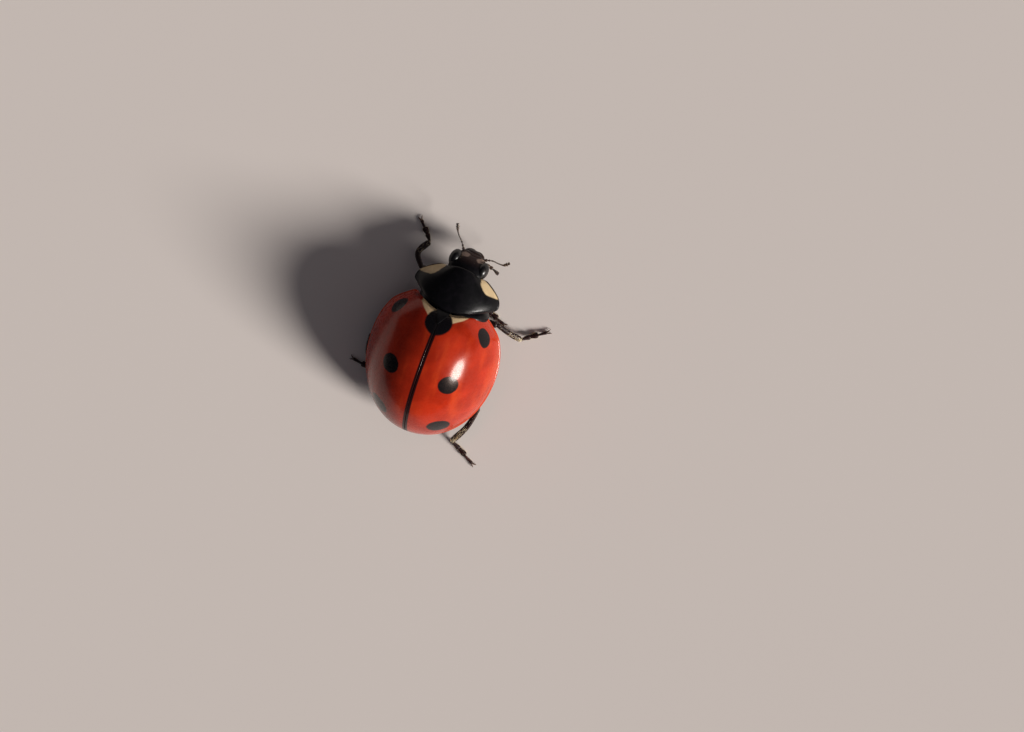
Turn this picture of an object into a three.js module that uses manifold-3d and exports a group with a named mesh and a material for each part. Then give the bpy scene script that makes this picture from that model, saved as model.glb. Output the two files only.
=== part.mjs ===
// A seven-spot ladybird beetle at life size, standing in mid stride. Millimetres.
// The head points to -Y, +Z is up and the animal's own left side is +X. The body is drawn about
// its own middle plane, x = 0, and the whole group is moved at the end so that the origin lies at
// the middle of its footprint, on the floor.
import * as THREE from "three";
import { mergeVertices } from "three/addons/utils/BufferGeometryUtils.js";
import Module from "manifold-3d";

const wasm = await Module();
wasm.setup();

// ---------------------------------------------------------------- driving dimensions

const GAP = 0.03; // clear space left between neighbouring plates

// Domed wing cases: their shared outline is an ellipse-like curve about (0, WIDEST_Y).
const CASE_HALF_WIDTH = 2.5;
const CASE_WIDEST_Y = -0.17;
const CASE_FRONT_REACH = 2.65; // from the widest line to the pole of the front curve
const CASE_REAR_REACH = 3.15; // from the widest line to the rear tip
const CASE_FRONT_POWER = 2.25; // over 2 makes the shoulders squarer
const CASE_REAR_POWER = 2.05;
const CASE_BASE_Y = -2.3; // the front edge beside the small shield
const CASE_BASE_BULGE = 0.14; // how far the front edge swells forward halfway to the shoulder
const CASE_BULGE_X = 1.05;
const CASE_BULGE_WIDTH = 0.55;
const CASE_BULGE_LENGTH = 0.9; // the swelling fades out over this length
const CASE_RISE = 2.52; // height of the dome over its rim
const CASE_FULLNESS = 0.68; // below 1 makes the sides stand up steeply
const CASE_WALL = 0.52;
const CASE_SHOULDER_ROUND = 0.36; // the sides draw in by this much at the front corners
const CASE_SHOULDER_FROM = 0.56; // from this share of the front reach
const CASE_SHOULDER_TO = 1.0;
const CASE_TIP_SHARE = 0.9995; // the last section, a hair before the rear tip
const RIM_Z = 0.96; // height of the rim over the floor
const SHOULDER_LIFT = 0.26; // the rim climbs by this much towards the shoulders

// Triangular small shield between the front ends of the wing cases.
const SMALL_SHIELD_HALF_WIDTH = 0.27;
const SMALL_SHIELD_FRONT_Y = -2.37;
const SMALL_SHIELD_SHOULDER_Y = -2.15;
const SMALL_SHIELD_TIP_Y = -1.98;
const SMALL_SHIELD_THICKNESS = 0.34;
const SMALL_SHIELD_PROUD = 0.01;

// Underside of the trunk.
const BELLY_DROP = 0.42; // the belly hangs this far below the rim
const TRUNK_FRONT_Y = -2.38;
const TRUNK_SPLIT_Y = 0.28; // hind edge of the breastplate
const ABDOMEN_END = 0.965; // part of the rear reach that the abdomen fills
const ABDOMEN_TAPER = 0.55; // part of the belly's drop that is lost towards the tail

// Neck shield.
const SHIELD_HALF_WIDTH = 1.62;
const SHIELD_CORNER_HALF_WIDTH = 0.86; // at the front corners
const SHIELD_WIDENING = 0.82; // power of the widening from the front corners to the sides
const SHIELD_SHIFT_X = -0.1; // the fore body is bent a little to the animal's right
const SHIELD_FRONT_Y = -3.98; // front edge on the middle line, over the head
const SHIELD_CORNER_Y = -3.76;
const SHIELD_EYE_NOTCH = 0.1; // how far the front edge draws back above each eye
const SHIELD_EYE_REACH = 0.72; // where it does, as a share of the half width
const SHIELD_EYE_SPREAD = 0.2;
const SHIELD_BASE_Y = -2.42; // rear edge on the middle line
const SHIELD_BASE_CORNER_Y = -2.76;
const SHIELD_BASE_BOW = 1.3; // power of the rear edge's curve
const SHIELD_FRONT_Z = 1.83;
const SHIELD_BASE_Z = 2.42;
const SHIELD_EDGE_FRONT_Z = 1.28;
const SHIELD_EDGE_BASE_Z = 1.39;
const SHIELD_EDGE_THICKNESS = 0.14;

// The part of the trunk under the neck shield.
const NECK_FRONT_Y = -3.5;
const NECK_FRONT_HALF_WIDTH = 0.95;
const NECK_WIDENING = 0.3; // from the front to the rear
const NECK_DEPTH = 0.56;

// Head and its parts. The head is turned a little to the animal's right and tipped down.
const HEAD_CENTRE = new THREE.Vector3(-0.15, -3.97, 1.18);
const HEAD_HALF = new THREE.Vector3(0.66, 0.54, 0.45); // across, along, up
const HEAD_TURN = THREE.MathUtils.degToRad(-7);
const HEAD_TIP = THREE.MathUtils.degToRad(24);
const EYE_HALF = new THREE.Vector3(0.26, 0.34, 0.34);
const EYE_OFFSET = new THREE.Vector3(0.52, -0.05, 0.05);
const LIP_HALF = new THREE.Vector3(0.33, 0.18, 0.25);
const LIP_OFFSET = new THREE.Vector3(0, -0.46, -0.2);
const FEELER_HALF = 0.25;
const PALP_HALF = 0.2;

// Legs: half the thickness of each joint of a leg, and how flat a foot lies.
const COXA_HALF = new THREE.Vector3(0.3, 0.27, 0.22);
const HIND_COXA_HALF = new THREE.Vector3(0.42, 0.27, 0.22); // the hind ones lie across the body
const COXA_OUTER_SHARE = 0.15; // how far a coxa reaches past the hip
const COXA_LIFT = 0.1; // a coxa's middle over the hip
const FEMUR_HALF = 0.27;
const FEMUR_ARCH = 0.03; // the middle of a thigh over the straight line from hip to knee
const TIBIA_HALF = 0.25;
const TARSUS_HALF = 0.25;
const TARSUS_HEIGHT = 0.2; // middle line of a foot over the floor
const JOINT_TRIM = 0.06; // each joint of a leg stops this far short of the point it bends about

// Bending points of each leg from the body outwards: hip, knee, the bow of the shin, ankle, toe.
// The legs stand as in an alternating walk: one front, the opposite middle and the same hind leg
// reach forward while the other three are at the end of their stroke.
const LEGS = {
  front_left: {
    hip: [0.42, -3.05, 0.5], knee: [1.52, -3.15, 0.79],
    bow: [1.86, -3.6, 0.5], ankle: [1.62, -4.08, 0.27], toe: [2.29, -4.8, 0.12],
  },
  front_right: {
    hip: [-0.36, -3.05, 0.5], knee: [-1.3, -3.22, 0.76],
    bow: [-1.34, -2.78, 0.5], ankle: [-1.22, -2.4, 0.27], toe: [-2.07, -2.03, 0.12],
  },
  middle_left: {
    hip: [0.75, -1.75, 0.42], knee: [1.96, -1.72, 0.7],
    bow: [1.8, -1.2, 0.5], ankle: [1.52, -0.78, 0.27], toe: [2.4, -0.62, 0.12],
  },
  middle_right: {
    hip: [-0.72, -1.78, 0.42], knee: [-1.83, -2.29, 0.76],
    bow: [-2.3, -2.03, 0.52], ankle: [-2.84, -1.79, 0.27], toe: [-3.73, -2.42, 0.12],
  },
  hind_left: {
    hip: [0.9, 0.0, 0.42], knee: [2.52, 0.02, 0.66],
    bow: [2.42, 0.8, 0.5], ankle: [1.95, 1.5, 0.27], toe: [3.08, 1.35, 0.12],
  },
  hind_right: {
    hip: [-0.9, 0.0, 0.42], knee: [-2.26, 1.22, 0.66],
    bow: [-2.16, 2.15, 0.5], ankle: [-1.68, 2.96, 0.27], toe: [-2.77, 3.61, 0.12],
  },
};

// Feelers and palps, as points from their sockets to their tips.
const FEELERS = {
  left: [[0.19, -4.39, 1], [0.4, -4.68, 0.94], [0.7, -5.02, 0.87], [0.79, -5.25, 0.8]],
  right: [[-0.72, -4.38, 1], [-0.95, -4.42, 0.94], [-1.27, -4.39, 0.88], [-1.54, -4.54, 0.8]],
};
const PALPS = {
  left: [[0.24, -4.18, 0.62], [0.36, -4.14, 0.52], [0.46, -4.08, 0.42]],
  right: [[-0.68, -4.15, 0.66], [-0.95, -4.05, 0.6], [-1.25, -3.92, 0.54]],
};

// ---------------------------------------------------------------- finishes

const finish = (color, roughness) => new THREE.MeshStandardMaterial({ color, roughness, metalness: 0 });
const CASE_RED = finish(0xb02a12, 0.25);
const SHELL_BLACK = finish(0x0c0b0d, 0.3);
const EYE_BLACK = finish(0x141418, 0.35);
const LEG_BLACK = finish(0x15100d, 0.45);
const MOUTH_BROWN = finish(0x3a2419, 0.5);
const FEELER_BROWN = finish(0x7a4a2a, 0.5);

// ---------------------------------------------------------------- surfaces

// Six times the signed volume under a triangle list: negative when its faces point inwards.
function signedVolume(points, triangles) {
  let sum = 0;
  for (let i = 0; i < triangles.length; i += 3) {
    const [a, b, c] = [points[triangles[i]], points[triangles[i + 1]], points[triangles[i + 2]]];
    sum += a.dot(b.clone().cross(c));
  }
  return sum;
}

// A geometry from points and triangles, turned so that its faces point outwards.
function closedGeometry(points, triangles) {
  const facing = signedVolume(points, triangles) < 0 ? [...triangles].reverse() : triangles;
  const geometry = new THREE.BufferGeometry().setFromPoints(points);
  geometry.setIndex(facing);
  geometry.computeVertexNormals();
  return geometry;
}

// The triangles of a grid of rows x columns points that starts at index `first`.
function gridTriangles(first, rows, columns, wrap) {
  const triangles = [];
  const steps = wrap ? columns : columns - 1;
  for (let i = 0; i < rows - 1; i++) {
    for (let j = 0; j < steps; j++) {
      const a = first + i * columns + j;
      const b = first + i * columns + ((j + 1) % columns);
      triangles.push(a, b, b + columns, a, b + columns, a + columns);
    }
  }
  return triangles;
}

// A closed solid through rings of points that all have the same count; its two ends are fans.
function ringSolid(rings) {
  const count = rings[0].length;
  const points = rings.flat();
  const triangles = gridTriangles(0, rings.length, count, true);
  for (const [ring, start, turned] of [[rings[0], 0, true], [rings.at(-1), points.length - count, false]]) {
    const hub = points.length;
    points.push(ring.reduce((sum, p) => sum.add(p), new THREE.Vector3()).divideScalar(count));
    for (let j = 0; j < count; j++) {
      const [a, b] = [start + j, start + ((j + 1) % count)];
      triangles.push(...(turned ? [hub, b, a] : [hub, a, b]));
    }
  }
  return closedGeometry(points, triangles);
}

// A closed slab between two grids of points of one size: the grids are its faces, and strips
// join their four edges.
function slabSolid(upper, lower) {
  const rows = upper.length;
  const columns = upper[0].length;
  const points = [...upper.flat(), ...lower.flat()];
  const below = rows * columns;
  const triangles = gridTriangles(0, rows, columns, false);
  const underside = gridTriangles(below, rows, columns, false).reverse();
  triangles.push(...underside);
  const edge = [];
  for (let j = 0; j < columns - 1; j++) edge.push(j);
  for (let i = 0; i < rows - 1; i++) edge.push(i * columns + columns - 1);
  for (let j = columns - 1; j > 0; j--) edge.push((rows - 1) * columns + j);
  for (let i = rows - 1; i > 0; i--) edge.push(i * columns);
  edge.forEach((a, k) => {
    const b = edge[(k + 1) % edge.length];
    triangles.push(b, a, a + below, b, a + below, b + below);
  });
  return closedGeometry(points, triangles);
}

// Evenly spaced values from `from` to `to`, both included.
function spread(from, to, steps) {
  return Array.from({ length: steps + 1 }, (_, i) => from + ((to - from) * i) / steps);
}

// A tapered rod along a smooth path through `points`: round at both ends, `half` thick in the
// middle, and cut flat where it would pass below the floor.
function limb(points, half, { grow = 0, trim = 0, sides = 8, steps = 7, blunt = 0.3 } = {}) {
  const path = new THREE.CatmullRomCurve3(points.map((p) => new THREE.Vector3(...p)), false, "centripetal");
  const length = path.getLength();
  const [start, end] = [trim / length, 1 - trim / length];
  const rings = spread(0.02, 0.98, steps).map((step) => {
    const share = (1 - Math.cos(Math.PI * step)) / 2;
    const at = path.getPointAt(start + (end - start) * share);
    const along = path.getTangentAt(start + (end - start) * share);
    const across = new THREE.Vector3(0, 0, 1).cross(along).normalize();
    const up = along.clone().cross(across);
    const reach = (half + grow) * Math.sin(Math.PI * share) ** blunt;
    const slide = grow * (2 * share - 1); // a grown rod is longer as well as thicker
    return Array.from({ length: sides }, (_, k) => {
      const turn = (2 * Math.PI * (k + 0.5)) / sides;
      const point = at.clone().addScaledVector(along, slide);
      point.addScaledVector(across, reach * Math.cos(turn));
      point.addScaledVector(up, reach * Math.sin(turn));
      point.z = Math.max(point.z, -Math.max(grow, 0));
      return point;
    });
  });
  return ringSolid(rings);
}

// An egg with the given half sizes, as a geometry about the origin.
function egg(half, { grow = 0, across = 16, down = 10 } = {}) {
  const geometry = new THREE.SphereGeometry(1, across, down);
  return geometry.scale(half.x + grow, half.y + grow, half.z + grow);
}

// ---------------------------------------------------------------- cutting

// A geometry as a manifold solid.
function solid(geometry) {
  const bare = geometry.clone();
  bare.deleteAttribute("normal");
  bare.deleteAttribute("uv");
  const merged = mergeVertices(bare, 1e-4);
  return new wasm.Manifold(new wasm.Mesh({
    numProp: 3,
    vertProperties: new Float32Array(merged.attributes.position.array),
    triVerts: new Uint32Array(merged.index.array),
  }));
}

// `geometry` with every one of `cutters` taken away.
function carve(geometry, cutters) {
  const rest = cutters.reduce((body, cutter) => body.subtract(solid(cutter)), solid(geometry));
  const mesh = rest.getMesh();
  const carved = new THREE.BufferGeometry();
  carved.setAttribute("position", new THREE.BufferAttribute(mesh.vertProperties, 3));
  carved.setIndex(new THREE.BufferAttribute(mesh.triVerts, 1));
  carved.computeVertexNormals();
  return carved;
}

// ---------------------------------------------------------------- wing cases and trunk

// Share of the case's length at height y: -1 at the pole of the front curve, 1 at the rear tip.
function caseShare(y) {
  return (y - CASE_WIDEST_Y) / (y < CASE_WIDEST_Y ? CASE_FRONT_REACH : CASE_REAR_REACH);
}

// Height of the rim: level at the back, climbing to the shoulders.
function rimZ(share) {
  return RIM_Z + SHOULDER_LIFT * THREE.MathUtils.smoothstep(-share, 0.1, 0.95);
}

// Cross-section of the dome at `share`, moved inwards by `inset`: place, half width and height.
function domeSection(share, inset) {
  const rear = share > 0;
  const power = rear ? CASE_REAR_POWER : CASE_FRONT_POWER;
  const fill = 1 - Math.abs(share) ** power;
  const width = fill ** (1 / power);
  const height = fill ** CASE_FULLNESS;
  const drawnIn = CASE_SHOULDER_ROUND
    * THREE.MathUtils.smoothstep(-share, CASE_SHOULDER_FROM, CASE_SHOULDER_TO);
  return {
    power,
    y: CASE_WIDEST_Y + share * (rear ? CASE_REAR_REACH - inset : CASE_FRONT_REACH),
    halfWidth: rear
      ? (CASE_HALF_WIDTH - inset) * width
      : CASE_HALF_WIDTH * width - inset - drawnIn,
    height: rear ? (CASE_RISE - inset) * height : CASE_RISE * height - inset,
    rim: rimZ(share),
  };
}

// A point on that cross-section: angle 0 is the middle line, a quarter turn is the rim.
function domePoint(section, angle, innerX = 0) {
  const side = Math.sin(angle);
  const lift = Math.max(0, 1 - side ** section.power) ** CASE_FULLNESS;
  return new THREE.Vector3(
    innerX + (section.halfWidth - innerX) * side,
    section.y,
    section.rim + section.height * lift,
  );
}

// One wing case: a thick shell from the middle line to the rim. `side` is +1 left, -1 right.
function wingCase(side) {
  const rowsAlong = 16;
  const columnsAcross = 12;
  const first = caseShare(CASE_BASE_Y);
  const surface = (inset) => spread(0, 1, rowsAlong).map((step) => {
    const share = first + (CASE_TIP_SHARE - first) * Math.sin((Math.PI / 2) * step) ** 0.9;
    const section = domeSection(share, inset);
    return spread(0, Math.PI / 2, columnsAcross).map((angle) => {
      const point = domePoint(section, angle, GAP / 2);
      const near = 1 - THREE.MathUtils.smoothstep(section.y - CASE_BASE_Y, 0, CASE_BULGE_LENGTH);
      point.y -= CASE_BASE_BULGE * near * Math.exp(-(((point.x - CASE_BULGE_X) / CASE_BULGE_WIDTH) ** 2));
      point.x *= side;
      return point;
    });
  });
  return slabSolid(surface(0), surface(CASE_WALL));
}

// A closed length of the trunk between two shares of the case's length: its roof follows the
// inside of the wing cases and its belly hangs below the rim.
function trunkLength(fromShare, toShare, drop) {
  const sides = 9;
  const rings = spread(0, 1, 7).map((step) => {
    const share = fromShare + (toShare - fromShare) * step;
    const section = domeSection(share, CASE_WALL + GAP);
    const roof = spread(-Math.PI / 2, Math.PI / 2, sides).map((angle) => {
      const point = domePoint(section, Math.abs(angle));
      point.x *= Math.sign(angle);
      return point;
    });
    const belly = spread(Math.PI / 2, -Math.PI / 2, sides).slice(1, -1).map((angle) => new THREE.Vector3(
      section.halfWidth * Math.sin(angle),
      section.y,
      section.rim - drop(share) * Math.cos(angle) ** 0.7,
    ));
    return [...roof, ...belly];
  });
  return ringSolid(rings);
}

// The triangular plate between the front ends of the wing cases. It follows the middle line of the
// dome and stands proud of it by `SMALL_SHIELD_PROUD`.
function smallShield(grow) {
  const outline = [
    [-SMALL_SHIELD_HALF_WIDTH, SMALL_SHIELD_FRONT_Y],
    [SMALL_SHIELD_HALF_WIDTH, SMALL_SHIELD_FRONT_Y],
    [0.6 * SMALL_SHIELD_HALF_WIDTH, SMALL_SHIELD_SHOULDER_Y],
    [0, SMALL_SHIELD_TIP_Y],
    [-0.6 * SMALL_SHIELD_HALF_WIDTH, SMALL_SHIELD_SHOULDER_Y],
  ];
  const centreY = (SMALL_SHIELD_FRONT_Y + SMALL_SHIELD_TIP_Y) / 2;
  const reach = 1 + (2 * grow) / SMALL_SHIELD_HALF_WIDTH;
  const ring = (lift) => outline.map(([x, y]) => {
    const grownY = centreY + (y - centreY) * reach;
    const section = domeSection(caseShare(grownY), 0);
    return new THREE.Vector3(x * reach, grownY, section.rim + section.height + lift);
  });
  return ringSolid([ring(-SMALL_SHIELD_THICKNESS - grow), ring(SMALL_SHIELD_PROUD + grow)]);
}

// ---------------------------------------------------------------- neck shield and head

// The domed top of the neck shield, or its level underside: a row for each step from front to back.
function neckShieldSurface(isTop) {
  return spread(0, 1, 8).map((back) => {
    const widening = Math.sin((Math.PI / 2) * Math.min(1, back / 0.8)) ** SHIELD_WIDENING;
    const halfWidth = THREE.MathUtils.lerp(SHIELD_CORNER_HALF_WIDTH, SHIELD_HALF_WIDTH, widening);
    const climb = Math.sin((Math.PI / 2) * back) ** 0.9;
    const middleZ = THREE.MathUtils.lerp(SHIELD_FRONT_Z, SHIELD_BASE_Z, climb);
    const edgeZ = THREE.MathUtils.lerp(SHIELD_EDGE_FRONT_Z, SHIELD_EDGE_BASE_Z, back);
    return spread(-1, 1, 16).map((side) => {
      const reach = Math.abs(side);
      const overEye = Math.exp(-(((reach - SHIELD_EYE_REACH) / SHIELD_EYE_SPREAD) ** 2));
      const bowedY = THREE.MathUtils.lerp(SHIELD_FRONT_Y, SHIELD_CORNER_Y, reach ** 2);
      const frontY = bowedY + SHIELD_EYE_NOTCH * overEye;
      const rearY = THREE.MathUtils.lerp(SHIELD_BASE_Y, SHIELD_BASE_CORNER_Y, reach ** SHIELD_BASE_BOW);
      const topZ = edgeZ + (middleZ - edgeZ) * (1 - reach ** 2.1) ** 0.8;
      return new THREE.Vector3(
        SHIELD_SHIFT_X + side * halfWidth,
        THREE.MathUtils.lerp(frontY, rearY, back),
        isTop ? topZ : edgeZ - SHIELD_EDGE_THICKNESS,
      );
    });
  });
}

// The part of the body under the neck shield that carries the front legs.
function neckBody() {
  const rings = spread(0, 1, 5).map((back) => {
    const y = THREE.MathUtils.lerp(NECK_FRONT_Y, SHIELD_BASE_Y, back);
    const halfWidth = NECK_FRONT_HALF_WIDTH + NECK_WIDENING * Math.sin((Math.PI / 2) * back);
    const top = SHIELD_EDGE_FRONT_Z - SHIELD_EDGE_THICKNESS - GAP;
    return spread(0, 2 * Math.PI, 16).slice(0, -1).map((angle) => {
      const [side, up] = [Math.cos(angle), Math.sin(angle)];
      return new THREE.Vector3(halfWidth * side, y, up > 0 ? top : top + NECK_DEPTH * up);
    });
  });
  return ringSolid(rings);
}

// A geometry drawn in the head's own frame, set in its place on the body.
function onHead(geometry, offset, side = 1) {
  const place = new THREE.Matrix4().makeRotationFromEuler(new THREE.Euler(HEAD_TIP, 0, HEAD_TURN, "ZXY"));
  place.setPosition(HEAD_CENTRE);
  return geometry.translate(offset.x * side, offset.y, offset.z).applyMatrix4(place);
}

const head = (grow = 0) => onHead(egg(HEAD_HALF, { grow, across: 18, down: 10 }), new THREE.Vector3());
const eye = (side, grow = 0) => onHead(egg(EYE_HALF, { grow, across: 12, down: 7 }), EYE_OFFSET, side);
const lip = (grow = 0) => onHead(egg(LIP_HALF, { grow, across: 12, down: 8 }), LIP_OFFSET);
const feeler = (name, grow = 0) => limb(FEELERS[name], FEELER_HALF, { grow, steps: 10 });
const palp = (name, grow = 0) => limb(PALPS[name], PALP_HALF, { grow, steps: 6 });

// ---------------------------------------------------------------- legs

// The ball or roller by which a leg turns in the body: its outer end is at the hip.
function coxa(name, grow = 0) {
  const [x, y, z] = LEGS[name].hip;
  const half = name.startsWith("hind") ? HIND_COXA_HALF : COXA_HALF;
  const inwards = Math.sign(x) * (half.x - COXA_OUTER_SHARE);
  return egg(half, { grow, across: 10, down: 6 }).translate(x - inwards, y, z + COXA_LIFT);
}

// The thigh, from hip to knee.
function femur(name, grow = 0) {
  const { hip, knee } = LEGS[name];
  const middle = hip.map((v, i) => (v + knee[i]) / 2);
  middle[2] += FEMUR_ARCH;
  return limb([hip, middle, knee], FEMUR_HALF, { grow, trim: JOINT_TRIM });
}

// The shin, bowed outwards between knee and ankle.
function tibia(name, grow = 0) {
  const { knee, bow, ankle } = LEGS[name];
  return limb([knee, bow, ankle], TIBIA_HALF, { grow, trim: JOINT_TRIM });
}

// The foot, from ankle to toe: its sole lies flat on the floor.
function tarsus(name, grow = 0) {
  const { ankle, toe } = LEGS[name];
  const middle = ankle.map((v, i) => (v + toe[i]) / 2);
  middle[2] = TARSUS_HEIGHT;
  return limb([ankle, middle, toe], TARSUS_HALF, { grow, trim: JOINT_TRIM, steps: 9 });
}

// ---------------------------------------------------------------- the whole animal

const ladybird = new THREE.Group();

function addPart(name, geometry, material) {
  const mesh = new THREE.Mesh(geometry, material);
  mesh.name = name;
  ladybird.add(mesh);
}

const SIDES = { left: 1, right: -1 };
const legNames = Object.keys(LEGS);
const legCutters = legNames.flatMap((name) => [coxa(name, GAP), femur(name, GAP), tibia(name, GAP)]);

for (const [name, side] of Object.entries(SIDES)) {
  addPart(`elytron_${name}`, carve(wingCase(side), [smallShield(GAP)]), CASE_RED);
}
addPart("scutellum", smallShield(0), SHELL_BLACK);
const neckShield = slabSolid(neckShieldSurface(true), neckShieldSurface(false));
addPart("pronotum", carve(neckShield, [head(GAP)]), SHELL_BLACK);

const splitShare = caseShare(TRUNK_SPLIT_Y);
const chestDrop = () => BELLY_DROP;
const tailDrop = (share) => {
  const towardsTail = (share - splitShare) / (ABDOMEN_END - splitShare);
  return BELLY_DROP * (1 - ABDOMEN_TAPER * towardsTail ** 1.6);
};
addPart("breastplate", carve(
  trunkLength(caseShare(TRUNK_FRONT_Y), splitShare - GAP / 2 / CASE_REAR_REACH, chestDrop),
  [smallShield(GAP), ...legCutters],
), SHELL_BLACK);
addPart("abdomen", carve(
  trunkLength(splitShare + GAP / 2 / CASE_REAR_REACH, ABDOMEN_END, tailDrop),
  legCutters,
), SHELL_BLACK);
addPart("neck_body", carve(neckBody(), [head(GAP), ...legCutters]), SHELL_BLACK);

addPart("head", carve(head(), [eye(1, GAP), eye(-1, GAP), lip(GAP)]), SHELL_BLACK);
addPart("mouth", carve(lip(), [palp("left", GAP), palp("right", GAP)]), MOUTH_BROWN);
for (const [name, side] of Object.entries(SIDES)) {
  addPart(`eye_${name}`, eye(side), EYE_BLACK);
  addPart(`antenna_${name}`, carve(feeler(name), [head(GAP), lip(GAP), eye(side, GAP)]), FEELER_BROWN);
  addPart(`palp_${name}`, carve(palp(name), [head(GAP)]), FEELER_BROWN);
}

for (const name of legNames) {
  addPart(`coxa_${name}`, coxa(name), LEG_BLACK);
  addPart(`femur_${name}`, carve(femur(name), [coxa(name, GAP)]), LEG_BLACK);
  addPart(`tibia_${name}`, carve(tibia(name), [femur(name, GAP)]), LEG_BLACK);
  addPart(`tarsus_${name}`, carve(tarsus(name), [tibia(name, GAP)]), LEG_BLACK);
}

// The origin goes to the middle of the footprint, at floor level.
const bounds = new THREE.Box3().setFromObject(ladybird);
const middle = bounds.getCenter(new THREE.Vector3());
ladybird.position.set(-middle.x, -middle.y, -bounds.min.z);

export default ladybird;
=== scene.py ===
"""A seven-spot ladybird beetle at life size, standing in mid stride: its finished look.

Shapes are worked out in millimetres in the animal's own frame: head towards -Y, its left side +X,
the floor at z = 0 and the middle plane of the body at x = 0. They go into the row frame, in
metres, when a mesh is made.
"""

import logging
import math
from dataclasses import dataclass, field, replace
from enum import Enum
from typing import Any, Iterable, Optional, Sequence, Union

import bmesh
import bpy
import numpy as np
from mathutils import Matrix, Vector


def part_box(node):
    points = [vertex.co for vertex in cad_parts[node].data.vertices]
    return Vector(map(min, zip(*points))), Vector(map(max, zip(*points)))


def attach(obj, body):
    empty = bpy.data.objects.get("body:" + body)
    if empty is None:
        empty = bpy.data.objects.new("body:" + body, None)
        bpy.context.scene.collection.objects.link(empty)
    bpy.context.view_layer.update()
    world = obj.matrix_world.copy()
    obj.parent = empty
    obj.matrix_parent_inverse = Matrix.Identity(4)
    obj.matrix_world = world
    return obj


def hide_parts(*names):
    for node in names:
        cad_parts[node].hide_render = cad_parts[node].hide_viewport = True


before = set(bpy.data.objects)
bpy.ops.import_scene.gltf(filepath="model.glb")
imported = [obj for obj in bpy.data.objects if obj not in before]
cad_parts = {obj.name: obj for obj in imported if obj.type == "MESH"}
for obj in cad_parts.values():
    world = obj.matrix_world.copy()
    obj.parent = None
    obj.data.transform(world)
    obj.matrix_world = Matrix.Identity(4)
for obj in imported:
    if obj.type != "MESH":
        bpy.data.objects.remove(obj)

Array = np.ndarray
Point = tuple[float, float, float]
Colour = tuple[float, float, float]
Stops = Sequence[tuple[float, float]]

MM = 0.001
UP = (0.0, 0.0, 1.0)
SIDES = {"left": 1.0, "right": -1.0}
TINY = 1e-12  # a length that counts as none
BLUNT = 0.06  # share of a rod's length that a rounded end takes
END_RING = 0.02  # size of a rod's last ring against its full size
SHELL_IOR = 1.45
HORN_IOR = 1.53
COAT_ROUGH = 0.12
LOG = logging.getLogger("ladybird")


class Slot(Enum):
    """The material slots of the record."""

    CASE = "wing_case_red"
    SHELL = "shell_black"
    EYE = "eye_black"
    LEG = "leg_black"
    MOUTH = "mouth_brown"
    FEELER = "feeler_brown"
    HAIR = "hair_gold"


# ---------------- arithmetic on arrays


def smoothstep(value: Array, low: float, high: float) -> Array:
    """0 below low, 1 above high and a smooth cubic between them."""
    share = np.clip((np.asarray(value, float) - low) / (high - low), 0.0, 1.0)
    return share * share * (3.0 - 2.0 * share)


def lerp(start: Any, end: Any, share: Any) -> Any:
    """The value that lies the given share of the way from start to end."""
    return start + (end - start) * share


def unit(vectors: Array) -> Array:
    """The vectors, each divided by its own length."""
    return vectors / np.maximum(np.linalg.norm(vectors, axis=-1, keepdims=True), TINY)


def signed_power(value: Array, power: float) -> Array:
    """The size of the value raised to a power, with the value's own sign."""
    return np.sign(value) * np.abs(value) ** power


def quarter_round(distance: Array, radius: float) -> Array:
    """How far a quarter-circle edge has dropped at a distance from the border."""
    inside = np.clip(radius - distance, 0.0, radius)
    return radius - np.sqrt(radius**2 - inside**2)


def hermite(knots: Array, values: Array, places: Array) -> Array:
    """A smooth curve through values at knots: cubic pieces whose slope at each knot is the mean
    of the two chords that meet there.

    Args:
        knots: increasing parameters, one for each value.
        values: an array with a row for each knot.
        places: parameters at which the curve is wanted.

    Returns:
        One row for each place.
    """
    span = np.diff(knots)
    chords = np.diff(values, axis=0) / span[:, None]
    slopes = np.vstack([chords[:1], (chords[1:] + chords[:-1]) / 2, chords[-1:]])
    piece = np.clip(np.searchsorted(knots, places, side="right") - 1, 0, len(span) - 1)
    t = ((places - knots[piece]) / span[piece])[:, None]
    h = span[piece][:, None]
    start = (2 * t**3 - 3 * t**2 + 1) * values[piece] + (t**3 - 2 * t**2 + t) * h * slopes[piece]
    end = (3 * t**2 - 2 * t**3) * values[piece + 1] + (t**3 - t**2) * h * slopes[piece + 1]
    return start + end


def path_at(points: Sequence[Sequence[float]], shares: Array) -> Array:
    """Points on a smooth path, at shares of its length measured along the chords.

    Args:
        points: what the path goes through.
        shares: places along it.

    Returns:
        One row for each place.
    """
    knots = np.asarray(points, float)
    lengths = np.linalg.norm(np.diff(knots, axis=0), axis=1)
    along = np.concatenate([[0.0], np.cumsum(lengths)]) / lengths.sum()
    return hermite(along, knots, np.asarray(shares, float))


def ends_dense(count: int) -> Array:
    """Shares from 0 to 1 that lie closer together towards both ends, as cosines do.

    Args:
        count: how many are wanted.

    Returns:
        The shares.
    """
    evenness = 0.35
    even = np.linspace(0.0, 1.0, count)
    return evenness * even + (1 - evenness) * (1 - np.cos(math.pi * even)) / 2


def turn_x(angle: float) -> Array:
    """The matrix of a turn about the X axis."""
    c, s = math.cos(angle), math.sin(angle)
    return np.array([[1, 0, 0], [0, c, -s], [0, s, c]])


def turn_z(angle: float) -> Array:
    """The matrix of a turn about the Z axis."""
    c, s = math.cos(angle), math.sin(angle)
    return np.array([[c, -s, 0], [s, c, 0], [0, 0, 1]])


# ---------------- shapes


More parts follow.
